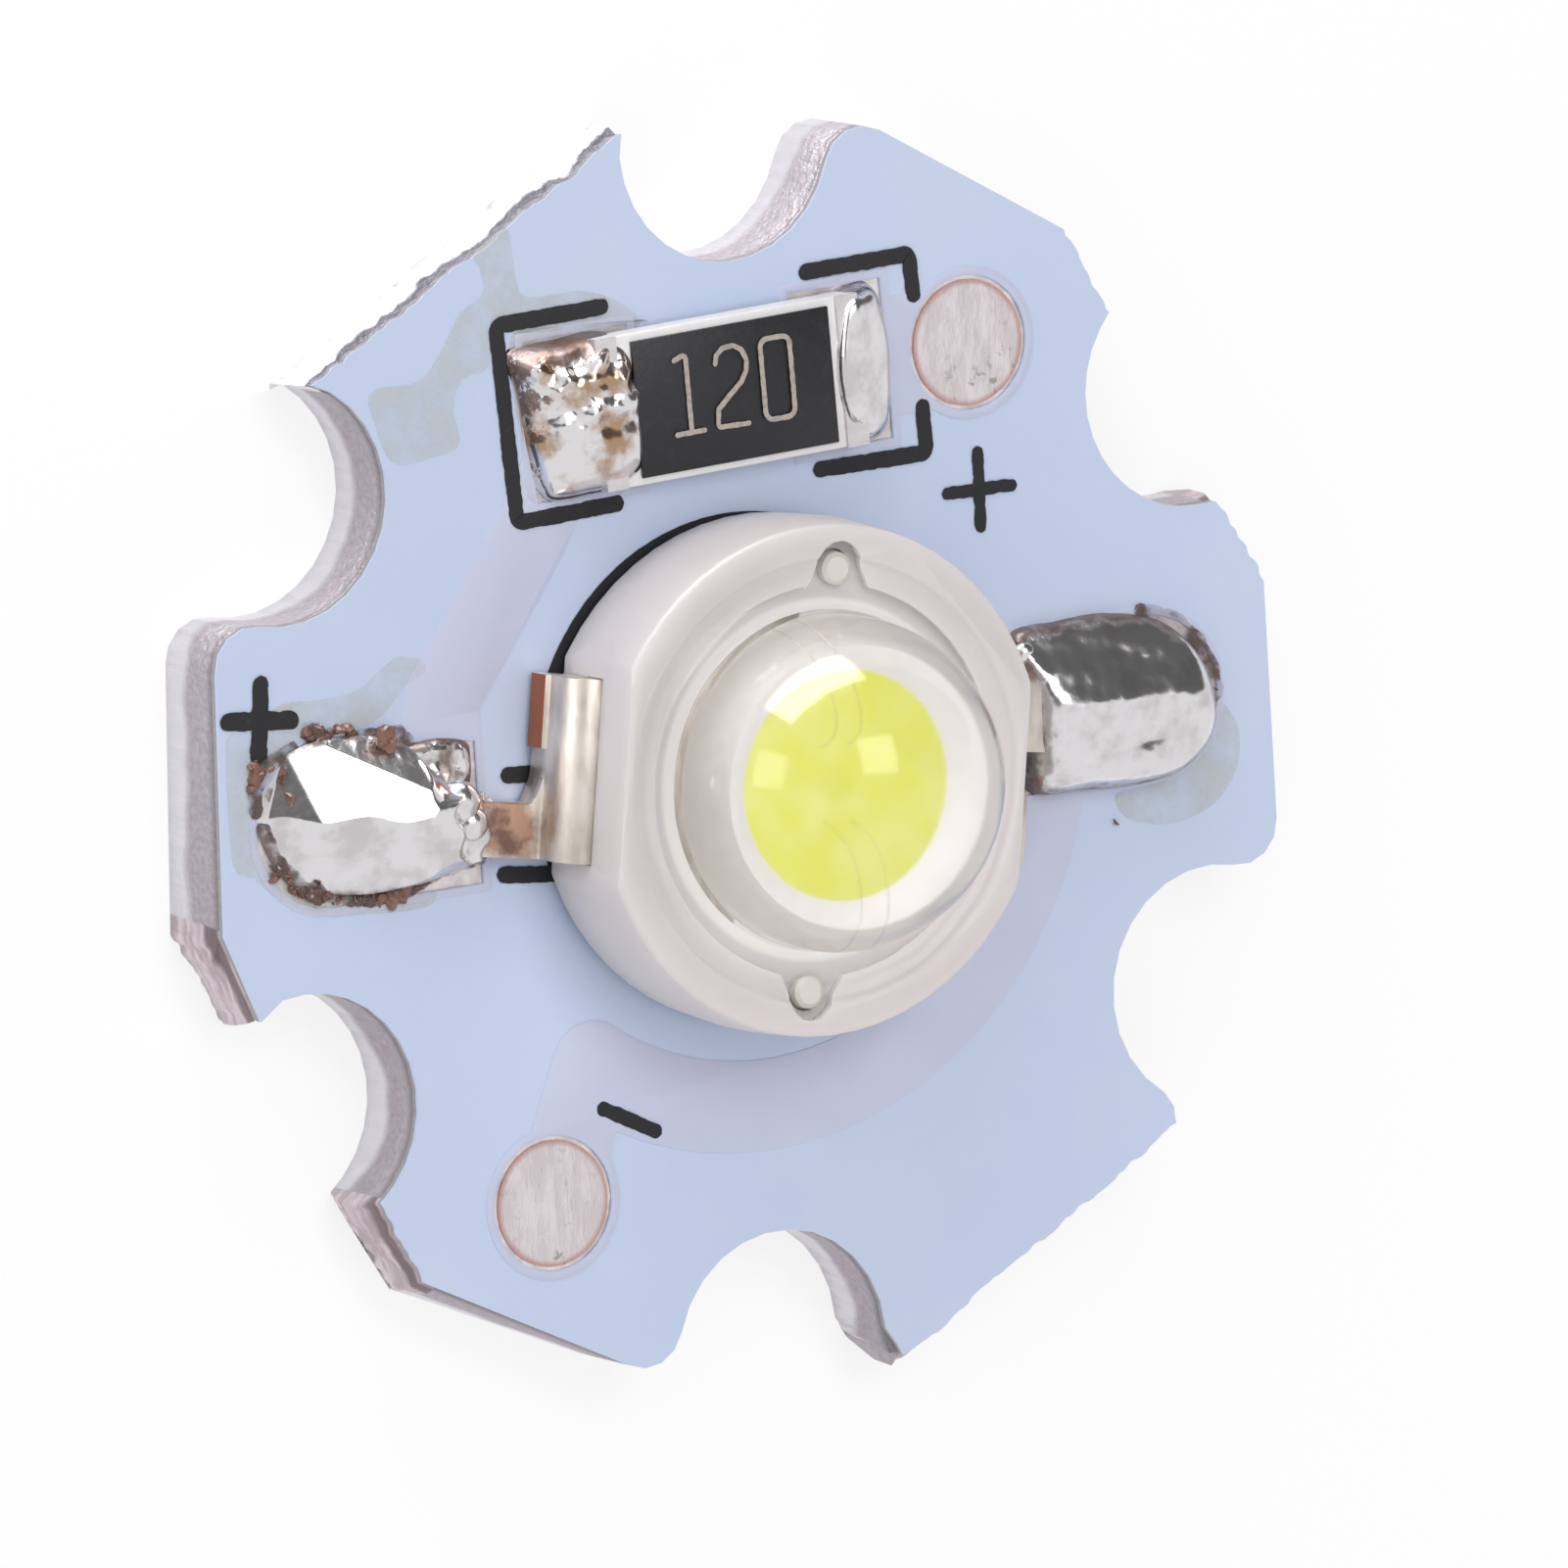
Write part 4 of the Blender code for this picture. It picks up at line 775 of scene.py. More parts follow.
# Package. A milky heat-proof resin moulded round the slug and the leads, with a flat on each
# lead's side, a round well for the lens and two pockets for its lugs.
MILKY = (217, 211, 211)
MILKY_SHADE = (207, 200, 200)
# Painted light: the plastic in the lens well is coloured lighter, in place of light that reaches it
# through the lens.
MILKY_WELL_PAINTED_LIGHT = (232, 227, 224)
PACKAGE_EDGE = 0.09
LED_CENTRE = (-0.04, -0.31)

milky = Finish("milky_plastic", Subsurface_Weight=0.5, Subsurface_Scale=0.6 * MM,
               Subsurface_Radius=(1.0, 0.8, 0.7))
milky_cloud = milky.cloud(0.8, 3.0)
level_place = milky.vectors("MULTIPLY", milky.place, (1.0, 1.0, 0.0))
from_axis = milky.vectors("DISTANCE", level_place, (*LED_CENTRE, 0.0), "Value")
# Painted light: within about 3 mm of the LED's axis the package is painted lighter, to make up for
# the shade in the well.
milky.set(Base_Color=milky.mix(milky.ease(from_axis, 3.0, 2.9),
                               milky.mix(milky_cloud, MILKY_SHADE, MILKY), MILKY_WELL_PAINTED_LIGHT),
          Roughness=0.38 + milky.cloud(12.0) * 0.12)
uneven = from_axis + 0.25 * (milky.cloud(0.5, 2.0) - 0.5)
steps = milky.ease(uneven, 3.7, 3.52) + 0.6 * milky.ease(uneven, 3.42, 3.28)
milky.bump(steps + 0.25 * milky.cloud(2.5, 3.0), 0.035)
package = cad_copy("led_body")
round_edges(package, PACKAGE_EDGE, 50.0)
add_piece("milky_package", package, milky, ["led_body"])

# Slug, die and phosphor. A plated copper slug carries the die in its cup, and a yellow
# phosphor in clear gel fills the cup to a low crown.
CUP_SUNK = 0.24
CUP_SUNK_ABOVE = 4.2
WIRE_REACH = 2.4
SLUG_TONES = ((228, 222, 217), (240, 236, 232))
DIE_TONES = ((170, 178, 196), (190, 196, 208))
PASTE_TONES = ((214, 214, 210), (232, 232, 228))
PHOSPHOR_TONES = ((226, 228, 92), (231, 233, 128))
GOLD_TONES = ((176, 160, 128), (196, 180, 150))

slug_metal = Finish("plated_slug_finish", Metallic=0.1)
slug_metal.patches(4.0, SLUG_TONES, 0.5, 0.2)
slug = cad_copy("heat_slug")
for vert in slug.verts:
    if vert.co.z > CUP_SUNK_ABOVE:
        vert.co.z -= CUP_SUNK
add_piece("slug_and_cup", slug, slug_metal, ["heat_slug"])
die_finish = Finish("blue_die")
die_finish.patches(9.0, DIE_TONES, 0.3, 0.1, finer=20.0)
finish_node("led_die", die_finish)
paste = Finish("thermal_paste")
paste.patches(6.0, PASTE_TONES, 0.6, 0.2, finer=15.0)
finish_node("thermal_bond", paste)
yellow = Finish("yellow_phosphor")
yellow.patches(1.6, PHOSPHOR_TONES, 0.55, 0.2, 2.0, (0.35, 0.7), 16.0)
fill = cad_copy("phosphor")
bmesh.ops.translate(fill, vec=(0.0, 0.0, -CUP_SUNK), verts=fill.verts)
add_piece("phosphor_fill", fill, yellow, ["phosphor"])
gold = Finish("gold_wire_finish", Metallic=0.5, Alpha=0.12)
gold.patches(10.0, GOLD_TONES, 0.2, 0.1, finer=20.0)
for node in ("left_bond_wire_1", "left_bond_wire_2", "right_bond_wire_1", "right_bond_wire_2"):
    wire = cad_copy(node)
    for vert in wire.verts:
        outwards = (vert.co.xy - Vector(LED_CENTRE)).length
        vert.co.z -= CUP_SUNK * max(0.0, 1.0 - outwards / WIRE_REACH)
    add_piece(node + "_loop", wire, gold, [node])

# Lens. A clear moulded dome with a flange that sits in the package, a lug at each end of the
# flange with a locating pin, and clear gel behind it.
LED_TURN = math.radians(-7.5)
SLUG_Z = 1.705
DOME_RADIUS = 2.75
DOME_CENTRE = 2.545
FLANGE_TOP = 2.2
FLANGE_BOTTOM = 1.92
FLANGE_RADIUS = 3.2
FLANGE_CHAMFER = 0.05
GEL_RADIUS = 2.7
GEL_BOTTOM = 1.36
WETTING = 0.04
DOME_STEPS = 144
DOME_ARC_STEPS = 48
LUG_TIP = 0.43
LUG_TIP_CENTRE = 3.49
LUG_ROOT = 0.755
LUG_START = 2.9
PIN_PLACE = 3.45
PIN_PROFILE = [(0.0, 1.82), (0.27, 1.82), (0.27, 2.1), (0.2, 2.17), (0.0, 2.18)]
LENS_TONES = ((252, 251, 250), (255, 255, 255))
PEG_TONES = ((208, 202, 196), (222, 216, 210))


def turned(profile, steps=DOME_STEPS):
    """A closed profile of (radius, height) turned round the Z axis."""
    mesh = bmesh.new()
    rings = []
    for radius, height in profile:
        circle = round_path(radius, (0.0, 0.0), steps if radius else 1)
        rings.append([mesh.verts.new((x, y, height)) for x, y in circle])
    return join_rings(mesh, rings)


def placed(mesh, centre, height, turn):
    """Turn a mesh drawn round the origin, and move it to its place."""
    mesh.transform(Matrix.Translation((*centre, height)) @ Matrix.Rotation(turn, 4, "Z"))
    return mesh


# Lens and gel are one clear body here. It runs a hair into the package and the slug, since the
# gel wets them and no air is left between.
profile = [(0.0, GEL_BOTTOM - WETTING), (GEL_RADIUS + WETTING, GEL_BOTTOM - WETTING),
           (GEL_RADIUS + WETTING, FLANGE_BOTTOM - WETTING),
           (FLANGE_RADIUS + WETTING, FLANGE_BOTTOM - WETTING),
           (FLANGE_RADIUS + WETTING, FLANGE_TOP - FLANGE_CHAMFER),
           (FLANGE_RADIUS - FLANGE_CHAMFER, FLANGE_TOP)]
start = math.asin((FLANGE_TOP - DOME_CENTRE) / DOME_RADIUS)
foot_radius = DOME_RADIUS * math.cos(start)
profile += [(foot_radius + 0.17, FLANGE_TOP), (foot_radius + 0.09, FLANGE_TOP + 0.02),
            (foot_radius + 0.03, FLANGE_TOP + 0.07)]
for step in range(3, DOME_ARC_STEPS):
    angle = start + (math.pi / 2 - start) * step / DOME_ARC_STEPS
    profile.append((DOME_RADIUS * math.cos(angle), DOME_CENTRE + DOME_RADIUS * math.sin(angle)))
profile.append((0.0, DOME_CENTRE + DOME_RADIUS))
dome = link_mesh(turned(profile), "dome")
lug_outline = [(-LUG_ROOT, LUG_START), (LUG_ROOT, LUG_START),
               *round_path(LUG_TIP, (0.0, LUG_TIP_CENTRE), 16, 0.0, math.pi),
               (-LUG_TIP, LUG_TIP_CENTRE)]
pins = []
for turn in (0.0, math.pi):
    arm = prism(lug_outline, FLANGE_BOTTOM - WETTING, FLANGE_TOP - 0.01)
    round_edges(arm, 0.04, 50.0)
    arm.transform(Matrix.Rotation(turn, 4, "Z"))
    dome = combine(dome, link_mesh(arm, "lug"), "UNION")
    pin = turned(PIN_PROFILE, 32)
    pin.transform(Matrix.Rotation(turn, 4, "Z") @ Matrix.Translation((0.0, PIN_PLACE, 0.0)))
    pins.append(placed(pin, LED_CENTRE, SLUG_Z, LED_TURN))
clear = Finish("clear_lens", Transmission_Weight=1.0, IOR=1.5)
clear.patches(0.7, LENS_TONES, 0.1, 0.04, 2.0)
# Light that has left the picture's straight path goes through the lens unbent.
clear.overlay(clear.rays("Shadow", "Diffuse"), "ShaderNodeBsdfTransparent")
add_piece("clear_dome", placed(take_mesh(dome), LED_CENTRE, SLUG_Z, LED_TURN), clear,
          ["lens", "silicone_gel"])
peg_plastic = Finish("peg_plastic")
peg_plastic.patches(3.0, PEG_TONES, 0.4, 0.2)
add_piece("lug_pegs", merged(*pins), peg_plastic)

# Resistor. A thick-film chip: a white ceramic block with a black glass coat over its film and
# plated ends. The coat carries its value, 12 ohms, in pale strokes.
RESISTOR_CENTRE = (-0.43, 5.95)
RESISTOR_TURN = math.radians(2.7)
CERAMIC_TONES = ((222, 219, 220), (234, 232, 232))
COAT_TONES = ((20, 20, 26), (34, 33, 38))
RESISTIVE_TONES = ((44, 42, 44), (66, 62, 62))
END_TONES = ((196, 192, 194), (226, 223, 225))
PAINT_TONES = ((174, 164, 156), (150, 140, 134))
COAT_TOP = 2.295
VALUE_STROKE = 0.085
VALUE_THICKNESS = 0.012
COAT_SHIFT = 0.05
CHIP_EDGE = 0.03
VALUE_ONE = [[(-1.12, 0.68), (-0.86, 0.78), (-0.86, -0.5)], [(-1.18, -0.52), (-0.57, -0.52)]]
VALUE_TWO = [[(-0.32, 0.48), (-0.28, 0.65), (-0.15, 0.76), (0.05, 0.77), (0.2, 0.68),
              (0.28, 0.5), (0.26, 0.33), (0.16, 0.17), (-0.32, -0.22), (-0.36, -0.52),
              (0.27, -0.54)]]
VALUE_NOUGHT = [[(0.56, 0.78), (1.12, 0.78), (1.12, -0.55), (0.56, -0.55)]]

ceramic = Finish("white_ceramic")
ceramic.patches(5.0, CERAMIC_TONES, 0.45, 0.15, finer=20.0)
block = cad_copy("resistor_substrate")
round_edges(block, CHIP_EDGE)
add_piece("ceramic_block", block, ceramic, ["resistor_substrate"])
coat = Finish("black_glass_coat")
coat.patches(4.0, COAT_TONES, 0.34, 0.2, 4.0, (0.5, 0.8))
coat.bump(coat.cloud(14.0), 0.006)
coat_mesh = cad_copy("resistor_coat")
round_edges(coat_mesh, CHIP_EDGE)
bmesh.ops.translate(coat_mesh, vec=(COAT_SHIFT, 0.0, 0.0), verts=coat_mesh.verts)
add_piece("black_coat_layer", coat_mesh, coat, ["resistor_coat"])
resistive = Finish("resistive_film_finish")
resistive.patches(8.0, RESISTIVE_TONES, 0.5, 0.2, finer=12.0)
finish_node("resistive_film", resistive)
end_plate = Finish("plated_end", Metallic=0.6)
end_plate.patches(5.0, END_TONES, 0.25, 0.25)
for node in ("left_termination", "right_termination"):
    finish_node(node, end_plate)

value_paint = Finish("value_paint")
value_paint.patches(11.0, PAINT_TONES, 0.5, 0.2, limits=(0.4, 0.7))
value = merged(strokes(VALUE_ONE + VALUE_TWO, 0.0, VALUE_STROKE, VALUE_THICKNESS, value_paint,
                       11.0, rough=0.5, corner=0.06),
               strokes(VALUE_NOUGHT, 0.0, VALUE_STROKE, VALUE_THICKNESS, value_paint, 12.0,
                       rough=0.5, corner=0.14, closed=True))
add_piece("value_digits", placed(value, RESISTOR_CENTRE, COAT_TOP + 0.005, RESISTOR_TURN),
          value_paint)

# Solder joints. Hand-soldered tin-lead. The LED's left joint is a tall lump that froze in flat
# facets, its right one a smooth swell along the pad. Burnt flux stains their edges brown.
SOLDER = (226, 224, 226)
SOLDER_DULL = (206, 202, 204)
PUDDLE_DULL = (150, 141, 136)
CRUSTED_DULL = (176, 146, 118)
FLUX_BURNT = (86, 57, 46)
FLUX_TOASTED = (128, 88, 70)
LEFT_JOINT_EDGE = [(-9.4, 0.07), (-9.34, 0.5), (-9.1, 0.83), (-8.71, 0.98), (-8.37, 1.1),
                   (-7.92, 1.12), (-7.28, 1.08), (-6.7, 0.9), (-6.3, 0.5), (-5.96, 0.16),
                   (-5.6, 0.02), (-5.2, -0.12), (-5.0, -0.6), (-5.2, -1.1), (-5.62, -1.22),
                   (-6.04, -1.32), (-6.51, -1.45), (-7.43, -1.5), (-8.07, -1.42),
                   (-8.66, -1.26), (-9.09, -0.86), (-9.32, -0.4)]
RIGHT_JOINT_EDGE = [(4.98, 1.3), (5.9, 1.4), (6.85, 1.42), (7.85, 1.18), (8.5, 0.55),
                    (8.76, -0.3), (8.58, -0.92), (7.97, -1.36), (7.09, -1.48), (6.14, -1.44),
                    (5.2, -1.36), (5.0, -0.6), (5.0, 0.6)]
NECK_BEADS = [(-5.93, -0.12, 2.24), (-5.74, -0.5, 2.22)]
PAD_LEVEL = 1.645
RIM_STAIN = 0.92
SOLDER_SHARP_ANGLE = 60.0


def smooth_outline(points, count):
    """Points evenly along a closed smooth curve through the given ones."""
    total = len(points)
    dense = []
    for index in range(total):
        p0, p1, p2, p3 = (Vector(points[(index + shift) % total]) for shift in (-1, 0, 1, 2))
        for step in range(12):
            t = step / 12
            dense.append(0.5 * (2 * p1 + (p2 - p0) * t + (2 * p0 - 5 * p1 + 4 * p2 - p3) * t * t
                                + (3 * p1 - p0 - 3 * p2 + p3) * t ** 3))
    lengths = [0.0]
    for first, second in zip(dense, dense[1:] + dense[:1]):
        lengths.append(lengths[-1] + (second - first).length)
    result = []
    index = 0
    for step in range(count):
        target = lengths[-1] * step / count
        while lengths[index + 1] < target:
            index += 1
        share = (target - lengths[index]) / (lengths[index + 1] - lengths[index])
        result.append(dense[index].lerp(dense[(index + 1) % len(dense)], share))
    return result


def heap(outline, centre, base, shape, rings=60, count=220):
    """A closed lump over an outline. Shape gives its height from the place and the ring's share;
    the attribute "rim" goes from 0 at its middle to 1 at its edge."""
    rim = smooth_outline(outline, count)
    middle = Vector(centre)
    mesh = bmesh.new()
    rim_layer = mesh.verts.layers.float.new("rim")
    rows = []
    for ring in range(rings):
        share = 1.0 - (ring / rings) ** 1.5
        row = []
        for point in rim:
            place = middle.lerp(point, share)
            vert = mesh.verts.new((place.x, place.y, base + shape(place.x, place.y, share)))
            vert[rim_layer] = share
            row.append(vert)
        rows.append(row)
    pole = mesh.verts.new((middle.x, middle.y, base + shape(middle.x, middle.y, 0.0)))
    bottom = [mesh.verts.new((vert.co.x, vert.co.y, base - 0.005)) for vert in rows[0]]
    for vert in bottom:
        vert[rim_layer] = 1.0
    mesh.faces.new(list(reversed(bottom)))
    return join_rings(mesh, [bottom, *rows, [pole]])


def ripple(x, y, scale, seed):
    return noise.noise(Vector((x * scale, y * scale, seed)))


def solder_finish(name, stain_start, spread, dull=SOLDER_DULL, far_stain=0.0):
    """Bright solder with burnt flux from a rim's share on, in patches as wide as the spread. A
    far stain is how much more of it there is to the millimetre beyond the resistor's middle."""
    finish = Finish(name)
    cloud = finish.cloud(1.6, 4.0)
    patches = finish.cloud(2.6, 4.0)
    reach = finish.attribute("rim") + spread * (patches - 0.5)
    if far_stain:
        reach += far_stain * (finish.along((0.0, 1.0, 0.0)) - RESISTOR_CENTRE[1])
    stain = finish.ease(reach, stain_start, stain_start + 0.12)
    clean = finish.mix(finish.ease(cloud, 0.42, 0.66), SOLDER, dull)
    finish.set(Base_Color=finish.mix(stain * 0.85, clean, FLUX_BURNT),
               Metallic=1.0 - 0.5 * stain, Roughness=0.1 + cloud * 0.16 + 0.2 * stain)
    finish.bump(finish.cloud(5.0, 4.0) * (0.3 + stain), 0.02)
    return finish


solder = solder_finish("bright_solder", RIM_STAIN, 0.35)


def left_shape(x, y, share):
    """A lump with a bright flat facet that breaks off along three creases."""
    bright = 0.56 + 0.276 * (x + 7.7) - 0.318 * (y - 0.35)
    past_far = max(0.0, 0.485 * (x + 7.3) + 0.875 * (y - 0.57))
    past_outer = max(0.0, -0.956 * (x + 8.62) - 0.293 * (y - 0.35))
    past_front = max(0.0, -0.2 - 0.06 * (x + 7.4) - y + 0.12 * ripple(x, y, 1.5, 8.0))
    lumps = 0.06 * ripple(x, y, 2.6, 3.0) + 0.03 * ripple(x, y, 6.0, 4.0)
    facets = bright - 0.72 * past_far - 0.36 * past_outer - 0.72 * past_front
    facets += lumps * min(1.0, 4.0 * past_front + 2.0 * past_far)
    steepness = 3.2 + 3.5 * min(1.0, max(0.0, (x + 6.4) / 0.8))
    swell = 1.05 * math.sqrt(max(0.0, 1.0 - share ** steepness))
    end = x + 5.5 - 0.35 * ripple(0.0, y, 2.2, 5.0) + 0.25 * (y + 0.6) ** 2
    lip = x + 6.15 + 0.45 * ripple(0.0, y, 1.8, 6.0)
    neck = max(0.3, 0.64 - 1.2 * max(0.0, end), 1.1 - 1.6 * max(0.0, lip))
    return max(0.03, min(swell, facets, neck + 0.5 * lumps))


def right_shape(x, y, share):
    """A ridge along its middle, steeper on the far side than on the near one."""
    from_ridge = y - 0.05
    ridge = 0.95 - 0.18 * from_ridge - 0.32 * math.sqrt(from_ridge ** 2 + 0.03)
    ridge -= 0.04 * abs(x - 6.6)
    swell = math.sqrt(max(0.0, 1.0 - share ** 3.4))
    height = -0.06 * math.log(math.exp(-ridge / 0.06) + math.exp(-swell / 0.06))
    streaks = 0.06 * ripple(x * 0.6, y * 1.6, 1.6, 9.0) + 0.02 * ripple(x, y, 4.0, 10.0)
    return max(0.02, height + streaks * (1.0 - share ** 4))


def bead(x, y, z, radius):
    """A small ball of solder."""
    ball = bmesh.new()
    bmesh.ops.create_icosphere(ball, subdivisions=4, radius=radius)
    bmesh.ops.scale(ball, vec=(1.0, 1.0, 0.8), verts=ball.verts)
    bmesh.ops.translate(ball, vec=(x, y, z), verts=ball.verts)
    return ball


left_lump = merged(heap(LEFT_JOINT_EDGE, (-7.4, -0.15), PAD_LEVEL, left_shape),
                   bead(*NECK_BEADS[0], 0.35), bead(*NECK_BEADS[1], 0.3))
add_piece("left_solder_lump", left_lump, solder, ["left_lead_joint"],
          SOLDER_SHARP_ANGLE)


def puddle_shape(x, y, share):
    """A thin lumpy layer."""
    lumps = 0.09 * ripple(x, y, 3.2, 14.0) * (1.0 - share ** 4)
    return max(0.02, 0.2 * math.sqrt(max(0.0, 1.0 - share ** 4)) + lumps)


CORNER_PUDDLE_EDGE = [(-6.72, 0.7), (-6.4, 0.84), (-5.96, 0.87), (-5.45, 0.76), (-5.36, 0.5),
                      (-5.4, 0.07), (-5.54, -0.09), (-5.89, -0.05), (-6.4, 0.3)]
add_piece("corner_solder_puddle", heap(CORNER_PUDDLE_EDGE, (-5.95, 0.42), PAD_LEVEL - 0.01,
                                       puddle_shape, 30, 120),
          solder_finish("puddle_solder", 0.72, 0.9, PUDDLE_DULL), (),
          SOLDER_SHARP_ANGLE)
right_swell = merged(heap(RIGHT_JOINT_EDGE, (6.9, -0.1), PAD_LEVEL, right_shape),
                     bead(5.1, 0.98, 1.9, 0.2))
add_piece("right_solder_swell", right_swell, solder_finish("dark_edged_solder", 0.86, 0.3),
          ["right_lead_joint"], SOLDER_SHARP_ANGLE)

LEFT_END_EDGE = [(-3.84, 1.22), (-3.0, 1.28), (-1.9, 1.22), (-1.58, 0.3), (-1.6, -0.9),
                 (-1.9, -1.28), (-2.6, -1.32), (-3.4, -1.28), (-3.62, -0.5), (-3.72, 0.5)]
RIGHT_END_EDGE = [(2.3, 1.2), (2.7, 1.3), (3.1, 1.22), (3.34, 0.3), (3.3, -0.6), (3.1, -1.22),
                  (2.6, -1.28), (2.34, -1.0), (2.1, -0.8), (2.0, 0.0), (2.12, 0.75)]


def left_end_shape(x, y, share):
    """Crumbly on its far half, smooth and higher at the near one."""
    crumbly = 0.5 + 0.5 * math.tanh(3.0 * (y + 0.1))
    swell = 0.74 * (1.0 - share ** 5) ** 0.5 - 0.2 * max(0.0, -2.6 - x)
    lumps = 0.14 * ripple(x, y, 2.8, 21.0) + 0.03 * ripple(x, y, 6.0, 22.0)
    return max(0.02, swell + (0.12 + crumbly) * lumps * (1.0 - share ** 6))


def right_end_shape(x, y, share):
    """A smooth fillet that covers the chip's end and falls away from it."""
    on_chip = 0.72 * (1.0 - share ** 14) ** 0.5
    swell = on_chip - 0.48 * max(0.0, x - 2.35 - 0.1 * y)
    return max(0.02, swell + 0.03 * ripple(x, y, 2.0, 25.0) * (1.0 - share ** 6))


crusted = solder_finish("crusted_solder", 0.84, 1.4, CRUSTED_DULL, 0.16)
for name, node, edge, centre, shape, finish in (
        ("left_end_solder", "left_resistor_joint", LEFT_END_EDGE, (-2.6, 0.0), left_end_shape,
         crusted),
        ("right_end_solder", "right_resistor_joint", RIGHT_END_EDGE, (2.5, 0.0), right_end_shape,
         solder)):
    lump = placed(heap(edge, centre, 0.0, shape, 40, 150), RESISTOR_CENTRE, PAD_LEVEL,
                  RESISTOR_TURN)
    add_piece(name, lump, finish, [node], SOLDER_SHARP_ANGLE)

# Flux. Burnt crumbs of it lie along the left joint's edges, and thin films of it dried on the
# mask where it ran out from under the joints.
CRUMB_PATHS = [[(-9.38, 0.95), (-9.5, 0.5), (-9.48, 0.0), (-9.42, -0.5)],
               [(-8.4, 1.2), (-7.6, 1.18), (-6.95, 1.0), (-6.45, 0.55), (-6.1, 0.1)],
               [(-9.1, -0.95), (-8.5, -1.38), (-7.5, -1.58), (-6.6, -1.5), (-5.9, -1.25)]]
CRUSTED_PATHS = [[(-9.2, 0.75), (-9.05, 0.2)], [(-6.35, 0.25), (-6.1, -0.45)],
                 [(-5.25, -0.35), (-5.0, -0.95)], [(-7.3, 1.1), (-7.0, 0.85)]]
RIGHT_CRUMBS = [[(8.68, 0.02), (8.92, -0.12)], [(6.4, -1.9), (6.8, -2.05)]]
FLUX_FILM = (226, 226, 220)
FLUX_FILM_SHADE = (206, 208, 202)
SMEAR_TONES = ((92, 72, 66), (150, 136, 130))
FILM_THICKNESS = 0.021
FILM_EDGE = 0.02
FLUX_LEVEL = 1.7
CRUST_LEVEL = 1.98
SMEAR_PATHS = [[(-9.41, -0.04), (-9.42, 0.45), (-9.21, 0.77), (-8.88, 0.94), (-8.55, 1.04)],
               [(-7.6, 1.08), (-7.21, 1.06), (-6.81, 1.03), (-6.56, 1.08)],
               [(-6.62, 1.05), (-6.49, 0.76), (-6.2, 0.41), (-5.9, 0.12)],
               [(-9.34, -0.12), (-9.1, -0.75), (-8.61, -1.29), (-7.91, -1.48), (-7.51, -1.58),
                (-6.8, -1.56), (-6.14, -1.31), (-5.6, -1.2), (-5.17, -1.16)],
               [(7.4, 1.42), (8.1, 1.2), (8.6, 0.76), (8.86, 0.25), (8.9, -0.3)]]
UPPER_FILM = [(-4.84, 8.63), (-4.21, 8.99), (-4.11, 8.61), (-3.97, 7.9), (-3.35, 7.83),
              (-2.8, 7.82), (-2.2, 7.6), (-1.73, 7.17), (-2.47, 7.2), (-4.19, 7.28),
              (-4.54, 7.48), (-4.64, 6.8), (-5.14, 6.64), (-5.35, 6.19), (-5.27, 5.59),
              (-5.77, 5.44), (-6.5, 5.41), (-6.83, 6.09), (-6.86, 6.62), (-6.0, 6.69),
              (-5.55, 7.11), (-5.14, 7.71), (-4.7, 7.98), (-4.73, 8.41)]
LEFT_FILM = [(-9.9, 1.15), (-9.77, 1.38), (-9.41, 1.42), (-8.84, 1.75), (-8.15, 1.75),
             (-7.42, 1.82), (-6.94, 2.12), (-6.61, 2.28), (-6.2, 2.19), (-6.12, 1.98),
             (-6.5, 1.79), (-6.79, 1.5), (-7.08, 1.3), (-7.45, 1.18), (-8.01, 1.13),
             (-8.65, 1.01), (-9.27, 0.68), (-9.49, 0.07), (-9.38, -0.42), (-9.22, -0.84),
             (-8.7, -1.27), (-8.07, -1.46), (-7.44, -1.55), (-6.2, -1.6), (-6.3, -1.85),
             (-7.44, -1.84), (-8.35, -1.75), (-9.06, -1.4), (-9.5, -1.0), (-9.88, -0.7)]
RIGHT_FILM = [(8.68, -0.21), (9.02, -0.31), (9.31, -0.74), (9.32, -1.23), (9.14, -1.64),
              (8.7, -2.04), (8.0, -2.22), (7.43, -2.15), (7.02, -1.97), (6.88, -1.63),
              (7.27, -1.55), (7.84, -1.48), (8.36, -1.15), (8.65, -0.7)]
INNER_FILM = [(-4.2, 7.2), (-3.2, 7.28), (-1.7, 7.22), (-1.9, 6.95), (-2.2, 4.6), (-2.6, 4.55),
              (-3.7, 4.5), (-4.05, 4.6), (-4.12, 5.5)]


